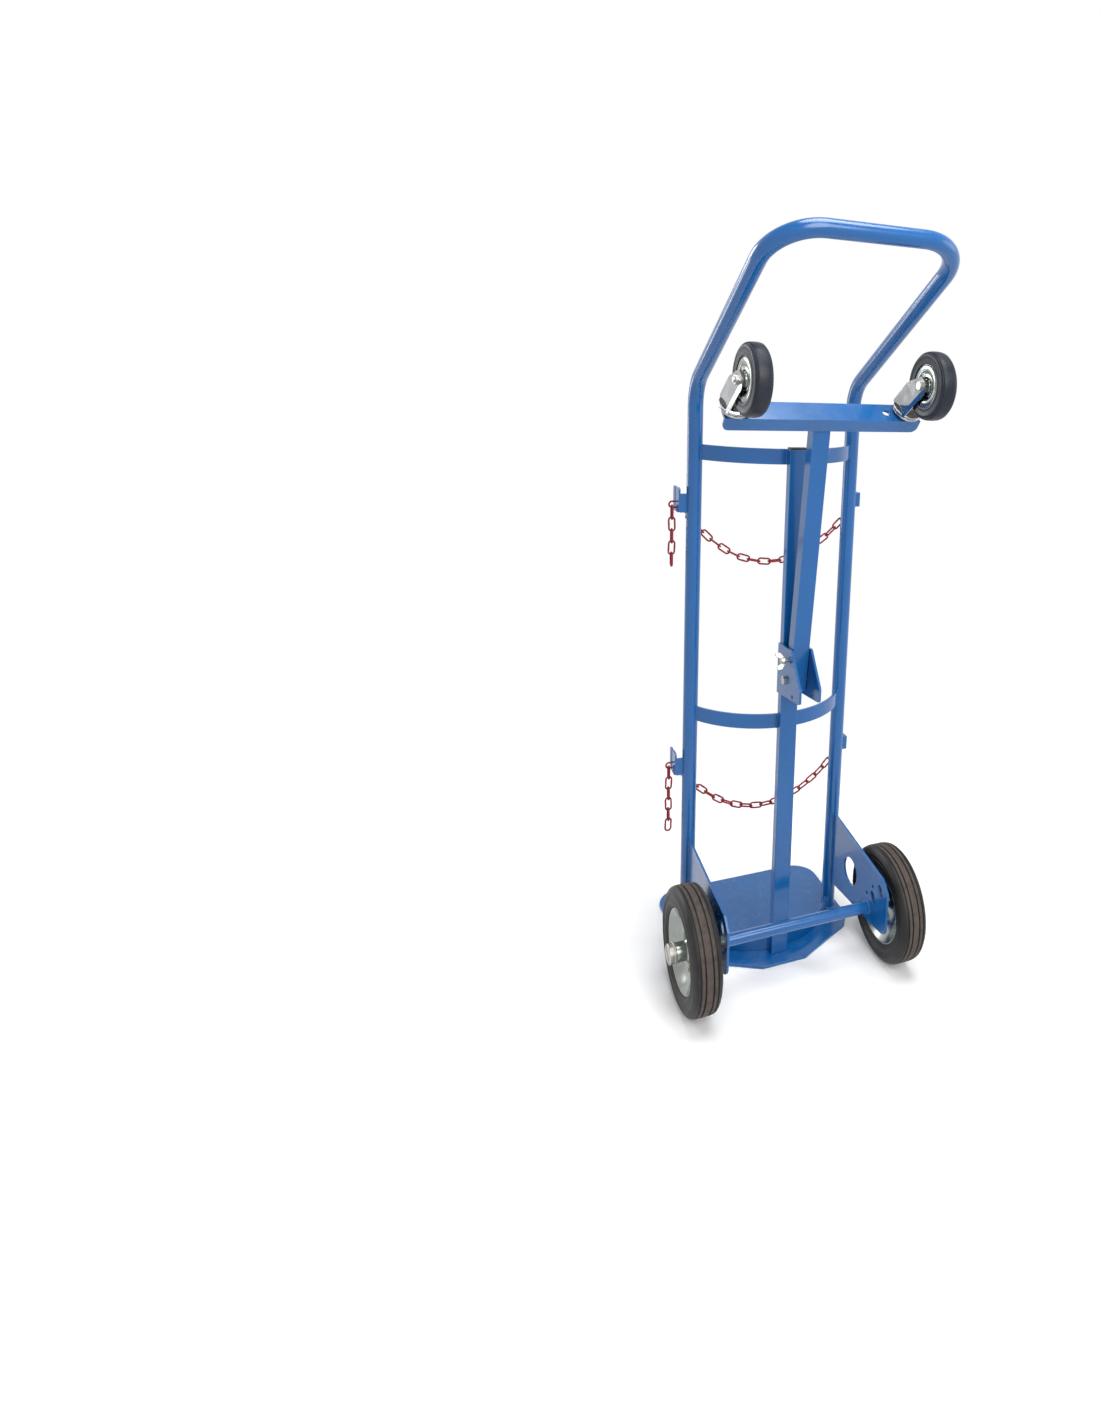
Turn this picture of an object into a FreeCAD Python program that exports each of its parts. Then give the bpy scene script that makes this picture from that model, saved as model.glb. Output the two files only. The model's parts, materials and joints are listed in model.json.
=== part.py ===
import FreeCAD, Part
import Sketcher
import math
import os
import re

# Gas cylinder trolley with a fold-down caster leg, standing upright with the leg folded.
# Millimetres, +Z up, +Y towards the load, -Y towards the operator, +X to the operator's right.
# The origin lies on the floor, midway between the two uprights.

doc = FreeCAD.newDocument("CylinderTrolley")
sheet = doc.addObject("Spreadsheet::Sheet", "Sizes")
nodes = {}

driving = {
    # Bent frame tube
    "tubeOuter": 25,
    "tubeWall": 2,
    "uprightSpacing": 282,
    "bendHeight": 990,
    "bendRadius": 60,
    "handleBack": 320,
    "handleRise": 207,
    "cornerRadius": 70,
    # Base plate
    "plateThick": 5,
    "plateMargin": 8,
    "plateFront": 150,
    "plateRear": 124,
    "plateTail": 80,
    "plateSide": 40,
    "plateShoulder": 67,
    "plateShoulderInset": 17,
    "plateFrontRound": 45,
    "plateRearRound": 8,
    # Curved bands and centre post
    "bandHeight": 25,
    "bandThick": 5,
    "bandReach": 79,
    "bandInset": 6,
    "bandMiddle": 438,
    "bandBelowBend": 106,
    "postWidth": 30,
    "postDepth": 15,
    "postWall": 2,
    "plugFlange": 3,
    "plugDepth": 14,
    # Axle plates
    "cheekThick": 4,
    "cheekTail": 65,
    "cheekRise": 105,
    "cheekDrop": 38,
    "cheekRearRise": 80,
    "cheekRearDrop": 18,
    "cheekChamfer": 19,
    "cheekRound": 18,
    "lightHole": 50,
    "lightAhead": 70,
    "lightRise": 28,
    "slotWidth": 11.5,
    "slotLength": 21,
    "slotTilt": 39,
    "smallHole": 6,
    # Axle and main wheels
    "axleDiameter": 20,
    "axleBack": 158,
    "wheelOuter": 200,
    "tyreWidth": 48,
    "rimWidth": 40,
    "rimSeat": 116,
    "rimLip": 133,
    "rimGauge": 2,
    "rimWeb": 88,
    "hubOuter": 31,
    "hubLength": 56,
    "spacerOuter": 28,
    "spacerLength": 8.7,
    "washerOuter": 35,
    "washerThick": 3,
    "capOuter": 32.5,
    "capThick": 8,
    "capSlot": 4,
    # Leg bracket
    "bracketThick": 4,
    "bracketTail": 58,
    "bracketRise": 55,
    "bracketShoulder": 19,
    "bracketDrop": 33,
    "bracketRearDrop": 22,
    "bracketRearRise": 1,
    "pivotHeight": 525,
    "pivotDiameter": 8,
    "lockDiameter": 6,
    "lockReach": 35,
    "foldAngle": 115,
    # Folding leg and caster bar
    "legSideGap": 1,
    "legClear": 13,
    "legDepth": 20,
    "legWall": 2,
    "legBelowBend": 21,
    "legStub": 19,
    "legLean": 6.5,
    "casterTilt": 32,
    "barMargin": 18,
    "barFlange": 37.5,
    "barDrop": 22.5,
    "barThick": 4,
    "barRound": 10,
    "spareInset": 35,
    # Casters
    "casterSpacing": 280,
    "casterOuter": 100,
    "casterWidth": 26,
    "casterHub": 62,
    "casterTrail": 28,
    "casterHeight": 78,
    "forkGap": 31,
    "forkGauge": 3,
    "crownOuter": 48,
    "raceOuter": 46,
    "raceHeight": 8,
    "kingDiameter": 12,
    "casterAxle": 8,
    # Chains
    "wire": 3,
    "linkInner": 20,
    "linkWidth": 7,
    "linkSlack": 0.3,
    "spanLinks": 20,
    "upperTailLinks": 5,
    "lowerTailLinks": 6,
    "chainBelowBand": 89,
    "lowerChain": 335,
    "chainClear": 1,
    "hookStandOff": 10.5,
    "hookThick": 3,
    "hookTall": 31,
    "hookHorn": 30,
    "hookLip": 12,
    "hookClear": 1.2,
    "anchorStandOff": 6.5,
    "anchorHole": 10,
    "anchorRim": 4,
    "anchorTall": 25,
    # Clearances
    "runGap": 0.05,
    "sideGap": 0.3,
    "seatGap": 0.2,
}

# Sizes that follow from their neighbours
following = {
    "plateWidth": "uprightSpacing + tubeOuter + 2 * plateMargin",
    "bandTop": "bendHeight - bandBelowBend",
    "axleHeight": "wheelOuter / 2",
    "cheekReach": "axleBack + cheekTail",
    "cheekTop": "axleHeight + cheekRise",
    "cheekLow": "axleHeight - cheekDrop",
    "cheekRearTop": "axleHeight + cheekRearRise",
    "cheekRearLow": "axleHeight - cheekRearDrop",
    "lightBack": "axleBack - lightAhead",
    "lightHeight": "axleHeight + lightRise",
    "wheelOffset": "uprightSpacing / 2 + cheekThick / 2 + spacerLength + sideGap + hubLength / 2",
    "pivotBack": "bandReach + bandThick + postDepth + legClear + legDepth / 2",
    "bracketReach": "pivotBack + bracketTail",
    "bracketTop": "pivotHeight + bracketRise",
    "bracketLow": "pivotHeight - bracketDrop",
    "bracketRearLow": "pivotHeight - bracketRearDrop",
    "bracketRearTop": "pivotHeight + bracketRearRise",
    "legWidth": "postWidth - 2 * legSideGap",
    "legReach": "(bendHeight - legBelowBend - pivotHeight) / cos(legLean)",
    "barLength": "casterSpacing + 2 * barMargin",
    "spareSpacing": "casterSpacing - 2 * spareInset",
    "upperChain": "bandTop - chainBelowBand",
    "chainFront": "tubeOuter / 2 + chainClear + linkWidth / 2 + wire",
    "hookOut": "uprightSpacing / 2 + tubeOuter / 2 + hookStandOff",
    "hookFront": "chainFront + hookLip",
    "hookSlot": "wire + hookClear",
    "anchorOut": "uprightSpacing / 2 + tubeOuter / 2 + anchorStandOff",
}

cells = {**driving, **{word: "=" + formula for word, formula in following.items()}}
for row, (word, content) in enumerate(cells.items(), start=1):
    sheet.set(f"A{row}", word)
    sheet.set(f"B{row}", str(content))
    sheet.setAlias(f"B{row}", word)
doc.recompute()

xAxis = FreeCAD.Vector(1, 0, 0)
yAxis = FreeCAD.Vector(0, 1, 0)
zAxis = FreeCAD.Vector(0, 0, 1)
upright = FreeCAD.Rotation()
alongX = FreeCAD.Rotation(yAxis, 90)
alongMinusX = FreeCAD.Rotation(yAxis, -90)
sideways = FreeCAD.Rotation(FreeCAD.Vector(1, 1, 1), 120)
sides = {"left": -1, "right": 1}


def size(word):
    return float(sheet.get(word))


def named(text):
    """Formula text with every named size pointed at its cell."""
    def point(match):
        word = match.group()
        return "Sizes." + word if word in cells else word
    return re.sub(r"[A-Za-z]\w*", point, str(text))


def bind(item, name, text):
    item.setExpression(name, named(text))


def seat(item, x=0, y=0, z=0, turn=upright):
    item.Placement = FreeCAD.Placement(FreeCAD.Vector(), turn)
    for name, text in zip("xyz", (x, y, z)):
        bind(item, "Placement.Base." + name, text)
    return item


def lean(item, angle, x=0, y=0, z=0):
    """Turns an item about X by a formula, then puts its own origin at x, y, z."""
    seat(item, x, y, z, FreeCAD.Rotation(xAxis, 1))
    bind(item, "Placement.Rotation.Angle", angle)
    return item


def node(label, item):
    item.Label = label
    nodes[label] = item
    return item


def box(length, width, height, x=0, y=0, z=0):
    item = doc.addObject("Part::Box", "Block")
    bind(item, "Length", length)
    bind(item, "Width", width)
    bind(item, "Height", height)
    return seat(item, x, y, z)


def rod(radius, height, x=0, y=0, z=0, turn=upright):
    item = doc.addObject("Part::Cylinder", "Rod")
    bind(item, "Radius", radius)
    bind(item, "Height", height)
    return seat(item, x, y, z, turn)


def crossRod(radius, length, x, y, z):
    """A rod along X, centred on x."""
    return rod(radius, length, f"{x} - ({length}) / 2", y, z, alongX)


def fuse(*items):
    item = doc.addObject("Part::MultiFuse", "Joined")
    item.Shapes = list(items)
    return item


def cut(base, *tools):
    item = doc.addObject("Part::Cut", "Cut")
    item.Base = base
    item.Tool = tools[0] if len(tools) == 1 else fuse(*tools)
    return item


def common(first, second):
    item = doc.addObject("Part::Common", "Common")
    item.Base = first
    item.Tool = second
    return item


def group(*items):
    item = doc.addObject("Part::Compound", "Group")
    item.Links = list(items)
    return item


def drawOutline(body, role, corners, holes=()):
    """A closed sketch through the corners, with round holes, every coordinate a formula."""
    sketch = body.newObject("Sketcher::SketchObject", "Outline")
    plane = [part for part in body.Origin.OriginFeatures if part.Role == role][0]
    sketch.AttachmentSupport = (plane, [""])
    sketch.MapMode = "FlatFace"

    def fix(kind, geometry, point, text):
        constraint = sketch.addConstraint(Sketcher.Constraint(kind, -1, 1, geometry, point, 1.0))
        label = f"{kind}{geometry}"
        sketch.renameConstraint(constraint, label)
        bind(sketch, "Constraints." + label, text)

    count = len(corners)
    turns = [FreeCAD.Rotation(zAxis, 360 * index / count) for index in range(count)]
    ring = [turn.multVec(FreeCAD.Vector(100, 0, 0)) for turn in turns]
    for index in range(count):
        sketch.addGeometry(Part.LineSegment(ring[index], ring[(index + 1) % count]), False)
    for index in range(count):
        sketch.addConstraint(Sketcher.Constraint("Coincident", index, 2, (index + 1) % count, 1))
    for index, (across, along) in enumerate(corners):
        fix("DistanceX", index, 1, across)
        fix("DistanceY", index, 1, along)
    for across, along, radius in holes:
        circle = sketch.addGeometry(Part.Circle(FreeCAD.Vector(), zAxis, 1), False)
        constraint = sketch.addConstraint(Sketcher.Constraint("Radius", circle, 1.0))
        sketch.renameConstraint(constraint, f"Radius{circle}")
        bind(sketch, f"Constraints.Radius{circle}", radius)
        fix("DistanceX", circle, 3, across)
        fix("DistanceY", circle, 3, along)
    return sketch


def roundCorners(body, sketch, rounds, isCornerEdge):
    """Fillets the edges that pass through numbered corners of the sketch."""
    for radius, corners in rounds:
        doc.recompute()
        base = body.Tip
        names = []
        for index in corners:
            corner = sketch.Placement.multVec(sketch.Geometry[index].StartPoint)
            for number, edge in enumerate(base.Shape.Edges, start=1):
                touches = any(corner.distanceToPoint(end.Point) < 0.001 for end in edge.Vertexes)
                if touches and isCornerEdge(edge):
                    names.append(f"Edge{number}")
        fillet = body.newObject("PartDesign::Fillet", "Rounded")
        fillet.Base = (base, names)
        bind(fillet, "Radius", radius)


def plate(corners, thick, holes=(), rounds=()):
    """A flat plate drawn in XY and thickened along +Z."""
    body = doc.addObject("PartDesign::Body", "Plate")
    sketch = drawOutline(body, "XY_Plane", corners, holes)
    pad = body.newObject("PartDesign::Pad", "Thickness")
    pad.Profile = sketch
    bind(pad, "Length", thick)
    roundCorners(body, sketch, rounds, lambda edge: abs(edge.tangentAt(edge.FirstParameter).z) > 0.99)
    return body


def turned(profile, rounds=()):
    """A piece of revolution about Z, from a profile of radius and height."""
    body = doc.addObject("PartDesign::Body", "Turned")
    sketch = drawOutline(body, "XZ_Plane", profile)
    revolution = body.newObject("PartDesign::Revolution", "Turning")
    revolution.Profile = sketch
    revolution.ReferenceAxis = (sketch, ["V_Axis"])
    revolution.Angle = 360
    roundCorners(body, sketch, rounds, lambda edge: isinstance(edge.Curve, Part.Circle))
    return body


def ringOf(inner, outer, height):
    return turned([(inner, 0), (outer, 0), (outer, height), (inner, height)])


def hexagon(flats, height):
    """A hexagon with its outer corners turned off, standing on XY."""
    prism = doc.addObject("Part::Prism", "Hexagon")
    prism.Polygon = 6
    bind(prism, "Circumradius", f"({flats}) / sqrt(3)")
    bind(prism, "Height", height)
    corner = f"({flats}) / sqrt(3)"
    blank = turned([(0, 0), (corner, 0), (corner, f"({height}) - ({flats}) * 0.06"),
                    (f"({flats}) * 0.49", height), (0, height)])
    return common(prism, blank)


def hexBolt(diameter, flats, headHeight, length):
    """A bolt with its head above XY and its shank below."""
    shank = rod(f"({diameter}) / 2", f"({length}) + 1", z=f"-({length})")
    return fuse(hexagon(flats, headHeight), shank)


def hexNut(diameter, flats, height):
    bore = rod(f"({diameter}) / 2 + runGap", f"({height}) + 2", z=-1)
    return cut(hexagon(flats, height), bore)


tubeRadius = "(tubeOuter / 2)"
uprightX = "(uprightSpacing / 2)"
axleRadius = "(axleDiameter / 2)"


def roundedPath(points, radii):
    """Straight runs joined by tangent arcs, one radius for each inner point."""
    edges = []
    start = points[0]
    for before, corner, after, radius in zip(points, points[1:], points[2:], radii):
        inward = (before - corner).normalize()
        outward = (after - corner).normalize()
        halfTurn = (math.pi - inward.getAngle(outward)) / 2
        trim = radius * math.tan(halfTurn)
        bisector = (inward + outward).normalize()
        middle = corner + bisector * (radius / math.cos(halfTurn) - radius)
        entry = corner + inward * trim
        leave = corner + outward * trim
        edges.append(Part.LineSegment(start, entry).toShape())
        edges.append(Part.Arc(entry, middle, leave).toShape())
        start = leave
    edges.append(Part.LineSegment(start, points[-1]).toShape())
    return edges


def sweepTube(spine, radius):
    first = spine.Shape.Edges[0]
    section = doc.addObject("Part::Circle", "TubeSection")
    bind(section, "Radius", radius)
    facing = FreeCAD.Rotation(zAxis, first.tangentAt(first.FirstParameter))
    section.Placement = FreeCAD.Placement(first.valueAt(first.FirstParameter), facing)
    item = doc.addObject("Part::Sweep", "TubeSweep")
    item.Sections = [section]
    item.Spine = (spine, [f"Edge{number}" for number in range(1, len(spine.Shape.Edges) + 1)])
    item.Solid = True
    return item


def makeFrameTube():
    """The bent frame tube, parted where its runs meet and at the middle of the handle."""
    half = size("uprightSpacing") / 2
    bend = size("bendHeight")
    back = -size("handleBack")
    top = bend + size("handleRise")
    radii = [size("bendRadius"), size("cornerRadius")]
    for side, way in sides.items():
        corners = [(way * half, 0, size("plateThick")), (way * half, 0, bend),
                   (way * half, back, top), (0, back, top)]
        runs = roundedPath([FreeCAD.Vector(*corner) for corner in corners], radii)
        lengths = {"upright": runs[:1], "handle_arm": runs[1:3], "handle_corner": runs[3:]}
        for word, edges in lengths.items():
            spine = doc.addObject("Part::Feature", "TubeSpine")
            spine.Shape = Part.Wire(edges)
            tube = cut(sweepTube(spine, tubeRadius), sweepTube(spine, f"{tubeRadius} - tubeWall"))
            node(f"{side}_{word}", tube)


def makeBasePlate():
    half = "(plateWidth / 2)"
    rightEdge = [("plateTail / 2", "-plateRear"),
                 (f"{half} - plateShoulderInset", "-plateShoulder"),
                 (half, "-plateSide"),
                 (half, "plateFront")]
    leftEdge = [(f"-({x})", y) for x, y in reversed(rightEdge)]
    rounds = [("plateFrontRound", (3, 4)), ("plateRearRound", (0, 1, 2, 5, 6, 7))]
    node("base_plate", plate(rightEdge + leftEdge, "plateThick", rounds=rounds))


bandCentre = f"((({uprightX} - bandInset)^2 - bandReach^2) / (2 * bandReach))"
bandInner = f"({bandCentre} + bandReach)"
postFront = "(bandReach + bandThick)"
postRear = f"({postFront} + postDepth)"
postTop = "(bandTop + bandHeight / 2)"


def makeBand(label, low):
    """A flat bar bent to an arc behind the load, coped to both uprights."""
    outer = rod(f"{bandInner} + bandThick", "bandHeight", y=bandCentre, z=low)
    inner = rod(bandInner, "bandHeight + 2", y=bandCentre, z=f"{low} - 1")
    behind = box("uprightSpacing", postFront, "bandHeight", f"-{uprightX}", f"-{postFront}", low)
    tubes = [rod(tubeRadius, "bandHeight + 2", f"{side} * {uprightX}", 0, f"{low} - 1")
             for side in sides.values()]
    node(label, cut(common(cut(outer, inner), behind), *tubes))


def makeBands():
    makeBand("upper_band", "(bandTop - bandHeight / 2)")
    makeBand("middle_band", "(bandMiddle - bandHeight / 2)")
    makeBand("lower_band", "plateThick")


def makeCentrePost():
    tall = f"({postTop} - plateThick)"
    outside = box("postWidth", "postDepth", tall, "-postWidth / 2", f"-{postRear}", "plateThick")
    inside = box("postWidth - 2 * postWall", "postDepth - 2 * postWall", f"{tall} + 2",
                 "postWall - postWidth / 2", f"postWall - {postRear}", "plateThick - 1")
    node("centre_post", cut(outside, inside))

    plugRound = 2
    corners = [("-postWidth / 2", 0), ("postWidth / 2", 0),
               ("postWidth / 2", "postDepth"), ("-postWidth / 2", "postDepth")]
    flange = plate(corners, "plugFlange", rounds=[(plugRound, (0, 1, 2, 3))])
    inset = "(postWall + runGap)"
    stem = box(f"postWidth - 2 * {inset}", f"postDepth - 2 * {inset}", "plugDepth + 1",
               f"{inset} - postWidth / 2", inset, "-plugDepth")
    node("post_end_plug", seat(fuse(flange, stem), 0, f"-{postRear}", postTop))


def slotTool(x, y, z, tilt):
    """A round-ended slot through X, its length tilted from vertical towards the rear."""
    reach = "(slotLength - slotWidth)"
    ends = [crossRod("slotWidth / 2", "cheekThick * 3", 0, 0, f"{way} * {reach} / 2") for way in (-1, 1)]
    middle = box("cheekThick * 3", "slotWidth", reach, "-cheekThick * 1.5", "-slotWidth / 2", f"-{reach} / 2")
    return lean(fuse(middle, *ends), tilt, x, y, z)


def makeAxlePlates():
    """Upright plates behind the uprights that carry the axle."""
    insideTube = f"(-{tubeRadius} * 0.6)"
    corners = [(insideTube, "cheekLow"),
               (insideTube, "cheekTop"),
               ("cheekChamfer - cheekReach", "cheekRearTop"),
               ("-cheekReach", "cheekRearTop - cheekChamfer"),
               ("-cheekReach", "cheekRearLow")]
    axleHole = ("-axleBack", "axleHeight", f"{axleRadius} + runGap")
    lightHole = ("-lightBack", "lightHeight", "lightHole / 2")
    smallHoles = [(f"-axleBack + {back}", f"axleHeight + {rise}", "smallHole / 2")
                  for back, rise in ((4, 25), (-15, 48), (24, -7))]
    slots = ((-17.5, 29.5), (-41, 55))
    for side, way in sides.items():
        x = f"({way} * {uprightX})"
        flat = plate(corners, "cheekThick", [axleHole, lightHole] + smallHoles,
                     [("cheekRound", (4,)), ("cheekRound / 3", (2, 3))])
        seat(flat, f"{x} - cheekThick / 2", turn=sideways)
        tube = rod(tubeRadius, "cheekTop", x)
        tools = [slotTool(x, f"-axleBack + {back}", f"axleHeight + {rise}", "-slotTilt")
                 for back, rise in slots]
        node(f"{side}_axle_plate", cut(flat, tube, *tools))


hubEnd = "(wheelOffset + hubLength / 2)"
axleEnd = f"({hubEnd} + sideGap + washerThick)"
capScrewRadius = 4
capScrewLength = 18


def makeAxle():
    bar = crossRod(axleRadius, f"2 * {axleEnd}", 0, "-axleBack", "axleHeight")
    taps = [crossRod(f"{capScrewRadius} + runGap", f"{capScrewLength} * 2 + 4", f"{way} * {axleEnd}",
                     "-axleBack", "axleHeight") for way in sides.values()]
    node("axle", cut(bar, *taps))

    spacerStart = f"({uprightX} + cheekThick / 2)"
    spacers = []
    washers = []
    screws = []
    for side, way in sides.items():
        turn = alongX if way > 0 else alongMinusX
        spacer = ringOf(f"{axleRadius} + runGap", "spacerOuter / 2", "spacerLength")
        spacers.append(seat(spacer, f"{way} * {spacerStart}", "-axleBack", "axleHeight", turn))
        washer = turned([(f"{axleRadius} + runGap", 0), ("washerOuter / 2", 0),
                         ("washerOuter / 2", "washerThick"), (f"{axleRadius} + runGap", "washerThick")],
                        [("washerThick / 3", (2,))])
        washers.append(seat(washer, f"{way} * ({hubEnd} + sideGap)", "-axleBack", "axleHeight", turn))
        head = turned([(0, 0), ("capOuter / 2", 0), ("capOuter / 2", "capThick"), (0, "capThick")],
                      [("capThick / 5", (2,))])
        shank = rod(capScrewRadius, f"{capScrewLength} + 1", z=-capScrewLength)
        slot = box("capOuter + 2", "capSlot", "capSlot", "-capOuter / 2 - 1", "-capSlot / 2",
                   "capThick - capSlot * 0.8")
        slotTurn = doc.addObject("Part::Compound", "TurnedSlot")
        slotTurn.Links = [slot]
        seat(slotTurn, turn=FreeCAD.Rotation(zAxis, 40))
        screw = cut(fuse(head, shank), slotTurn)
        screws.append(seat(screw, f"{way} * {axleEnd}", "-axleBack", "axleHeight", turn))
    node("axle_spacers", group(*spacers))
    node("axle_washers", group(*washers))
    node("axle_cap_screws", group(*screws))


def mirroredProfile(upper):
    """A profile that is the same above and below z = 0, from its upper half."""
    return upper + [(radius, f"-({height})") for radius, height in reversed(upper)]


def makeWheel(side, way):
    """A ribbed tyre on two pressed rim halves, back to back round a plain hub."""
    turn = alongX if way > 0 else alongMinusX
    placed = (f"{way} * wheelOffset", "-axleBack", "axleHeight", turn)
    outer = "(wheelOuter / 2)"
    halfTyre = "(tyreWidth / 2)"
    beadFace = "(rimWidth / 2 - rimGauge)"
    grooveDepth = 3.5
    grooveEdge = 5
    grooveWidth = 5
    tread = [("rimSeat / 2", beadFace),
             ("rimLip / 2 + 0.5", beadFace),
             ("rimLip / 2 + 1", f"{halfTyre} - 3"),
             ("rimLip / 2 + 6", f"{halfTyre} - 1"),
             (f"{outer} - 15", f"{halfTyre} - 1"),
             (f"{outer} - 14", halfTyre),
             (f"{outer} - 11", halfTyre),
             (f"{outer} - 9", f"{halfTyre} - 1.5"),
             (f"{outer} - 4", f"{halfTyre} - 4"),
             (outer, f"{halfTyre} - 8"),
             (outer, grooveEdge + grooveWidth),
             (f"{outer} - {grooveDepth}", grooveEdge + grooveWidth - 1),
             (f"{outer} - {grooveDepth}", grooveEdge + 1),
             (outer, grooveEdge)]
    tyre = turned(mirroredProfile(tread), [(2.5, (3, 24)), (4, (9, 18))])
    node(f"{side}_wheel_tyre", seat(tyre, *placed))

    hubRadius = "(hubOuter / 2)"
    conePitch = "(rimGauge * 0.4)"
    coneTop = "(rimSeat / 2 - rimWeb / 2)"
    press = [(f"{hubRadius} + runGap", 0),
             ("rimWeb / 2", 0),
             ("rimSeat / 2", coneTop),
             ("rimSeat / 2", beadFace),
             ("rimLip / 2", beadFace),
             ("rimLip / 2", "rimWidth / 2"),
             ("rimSeat / 2 - rimGauge", "rimWidth / 2"),
             ("rimSeat / 2 - rimGauge", f"{coneTop} + {conePitch}"),
             (f"rimWeb / 2 - {conePitch}", "rimGauge"),
             (f"{hubRadius} + runGap", "rimGauge")]
    for half, face in (("outer", upright), ("inner", FreeCAD.Rotation(xAxis, 180))):
        dish = turned(press, [("rimGauge / 2.5", (5,)), ("rimGauge * 2", (7, 8))])
        seat(dish, turn=face)
        node(f"{side}_rim_{half}_half", seat(group(dish), *placed))

    hub = turned(mirroredProfile([(f"{axleRadius} + runGap", "hubLength / 2"),
                                  (hubRadius, "hubLength / 2")]),
                 [(1.5, (1, 2))])
    node(f"{side}_wheel_hub", seat(hub, *placed))


bracketInner = "(postWidth / 2)"
bracketOuter = f"({bracketInner} + bracketThick)"
foldedLock = ("(-pivotBack - lockReach * sin(legLean))", "(pivotHeight + lockReach * cos(legLean))")
openLock = ("(-pivotBack - lockReach * sin(legLean + foldAngle))",
            "(pivotHeight + lockReach * cos(legLean + foldAngle))")
pivotFlats = 13
lockFlats = 10


def makeBracket():
    """Two plates on the post that hold the leg's pivot and its two lock holes."""
    onPost = f"({postRear} - 12)"
    corners = [(f"-{onPost}", "bracketTop - 2"),
               ("-pivotBack - bracketShoulder", "bracketTop"),
               ("-bracketReach", "bracketRearTop"),
               ("-bracketReach", "bracketRearLow"),
               (f"-{onPost}", "bracketLow")]
    pivotHole = ("-pivotBack", "pivotHeight", "pivotDiameter / 2 + runGap")
    lockHoles = [(*place, "lockDiameter / 2 + runGap") for place in (foldedLock, openLock)]
    for side, start in (("left", f"-{bracketOuter}"), ("right", bracketInner)):
        flat = plate(corners, "bracketThick", [pivotHole] + lockHoles, [(5, (1, 2, 3))])
        node(f"{side}_bracket_plate", seat(flat, start, turn=sideways))

    bolt = hexBolt("pivotDiameter", pivotFlats, 5.3, f"2 * {bracketOuter} + 9")
    node("pivot_bolt", seat(bolt, f"-{bracketOuter}", "-pivotBack", "pivotHeight", alongMinusX))
    nut = hexNut("pivotDiameter", pivotFlats, 6.5)
    node("pivot_nut", seat(nut, bracketOuter, "-pivotBack", "pivotHeight", alongX))
    lockNut = hexNut("lockDiameter", lockFlats, 5)
    node("lock_nut", seat(lockNut, bracketOuter, *foldedLock, alongX))
    washers = []
    for start in (f"-{bracketInner}", "legWidth / 2 + runGap * 2"):
        washer = ringOf("pivotDiameter / 2 + runGap", "pivotDiameter",
                        f"{bracketInner} - legWidth / 2 - runGap * 2")
        washers.append(seat(washer, start, "-pivotBack", "pivotHeight", alongX))
    node("pivot_washers", group(*washers))


def makeLockScrew():
    """Wing screw, shown backed off so that its tip is level with the plate's inner face."""
    hubRadius = 6
    hubLength = 7
    standOff = 4.5
    shankLength = f"(bracketThick + {standOff})"
    hub = turned([(0, 0), (hubRadius, 0), (hubRadius * 0.8, hubLength), (0, hubLength)], [(1, (1, 2))])
    shank = rod("lockDiameter / 2", f"{shankLength} + 1", z=f"-{shankLength}")
    wingSpan = 14
    wingTall = 14
    wingThick = 3
    wing = plate([(0, 1), (hubRadius, 1), (wingSpan - 1, 6), (wingSpan, wingTall),
                  (wingSpan - 6, wingTall), (hubRadius - 2, hubLength - 1), (0, hubLength - 1)],
                 wingThick, rounds=[(2.5, (3, 4)), (3, (2, 5))])
    standing = FreeCAD.Rotation(xAxis, 90)
    seat(wing, 0, wingThick / 2, 0, standing)
    other = doc.addObject("Part::Compound", "OtherWing")
    other.Links = [wing]
    seat(other, turn=FreeCAD.Rotation(zAxis, 180))
    screw = fuse(hub, shank, wing, other)
    turn = alongMinusX.multiply(FreeCAD.Rotation(zAxis, 25))
    node("wing_screw", seat(screw, f"-{bracketOuter} - {standOff}", *foldedLock, turn))


casterLean = "(legLean + casterTilt)"
pivotY = "(-pivotBack)"
bushRadius = "(pivotDiameter / 2 + 3)"
hangInner = "(barDrop * tan(casterTilt) + legDepth / 2 / cos(casterTilt) + seatGap)"
freeEdge = f"(barFlange - barThick - {hangInner})"
boltBack = f"(({hangInner} + barThick - {freeEdge}) / 2)"
legTopY = "(-pivotBack - legReach * sin(legLean))"
legTopZ = "(pivotHeight + legReach * cos(legLean))"


def makeLeg():
    """Rectangular tube on the pivot, cut on the slant where the caster bar is welded."""
    tall = "(legReach + legStub + legDepth)"
    outside = box("legWidth", "legDepth", tall, "-legWidth / 2", "-legDepth / 2", "-legStub")
    inside = box("legWidth - 2 * legWall", "legDepth - 2 * legWall", f"{tall} + 2",
                 "legWall - legWidth / 2", "legWall - legDepth / 2", "-legStub - 1")
    slant = rod("legDepth * 4", "legDepth * 4")
    lean(slant, "casterTilt", 0, "barThick * sin(casterTilt)", "legReach - barThick * cos(casterTilt)")
    bushHole = crossRod(bushRadius, "legWidth + 2", 0, 0, 0)
    lockHole = crossRod("lockDiameter / 2 + 0.6", "legWidth + 2", 0, 0, "lockReach")
    tube = cut(cut(outside, inside), slant, bushHole, lockHole)
    node("leg_tube", lean(tube, "legLean", 0, pivotY, "pivotHeight"))

    bush = ringOf("pivotDiameter / 2 + runGap", bushRadius, "legWidth")
    node("leg_pivot_bush", seat(bush, "-legWidth / 2", pivotY, "pivotHeight", alongX))


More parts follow.
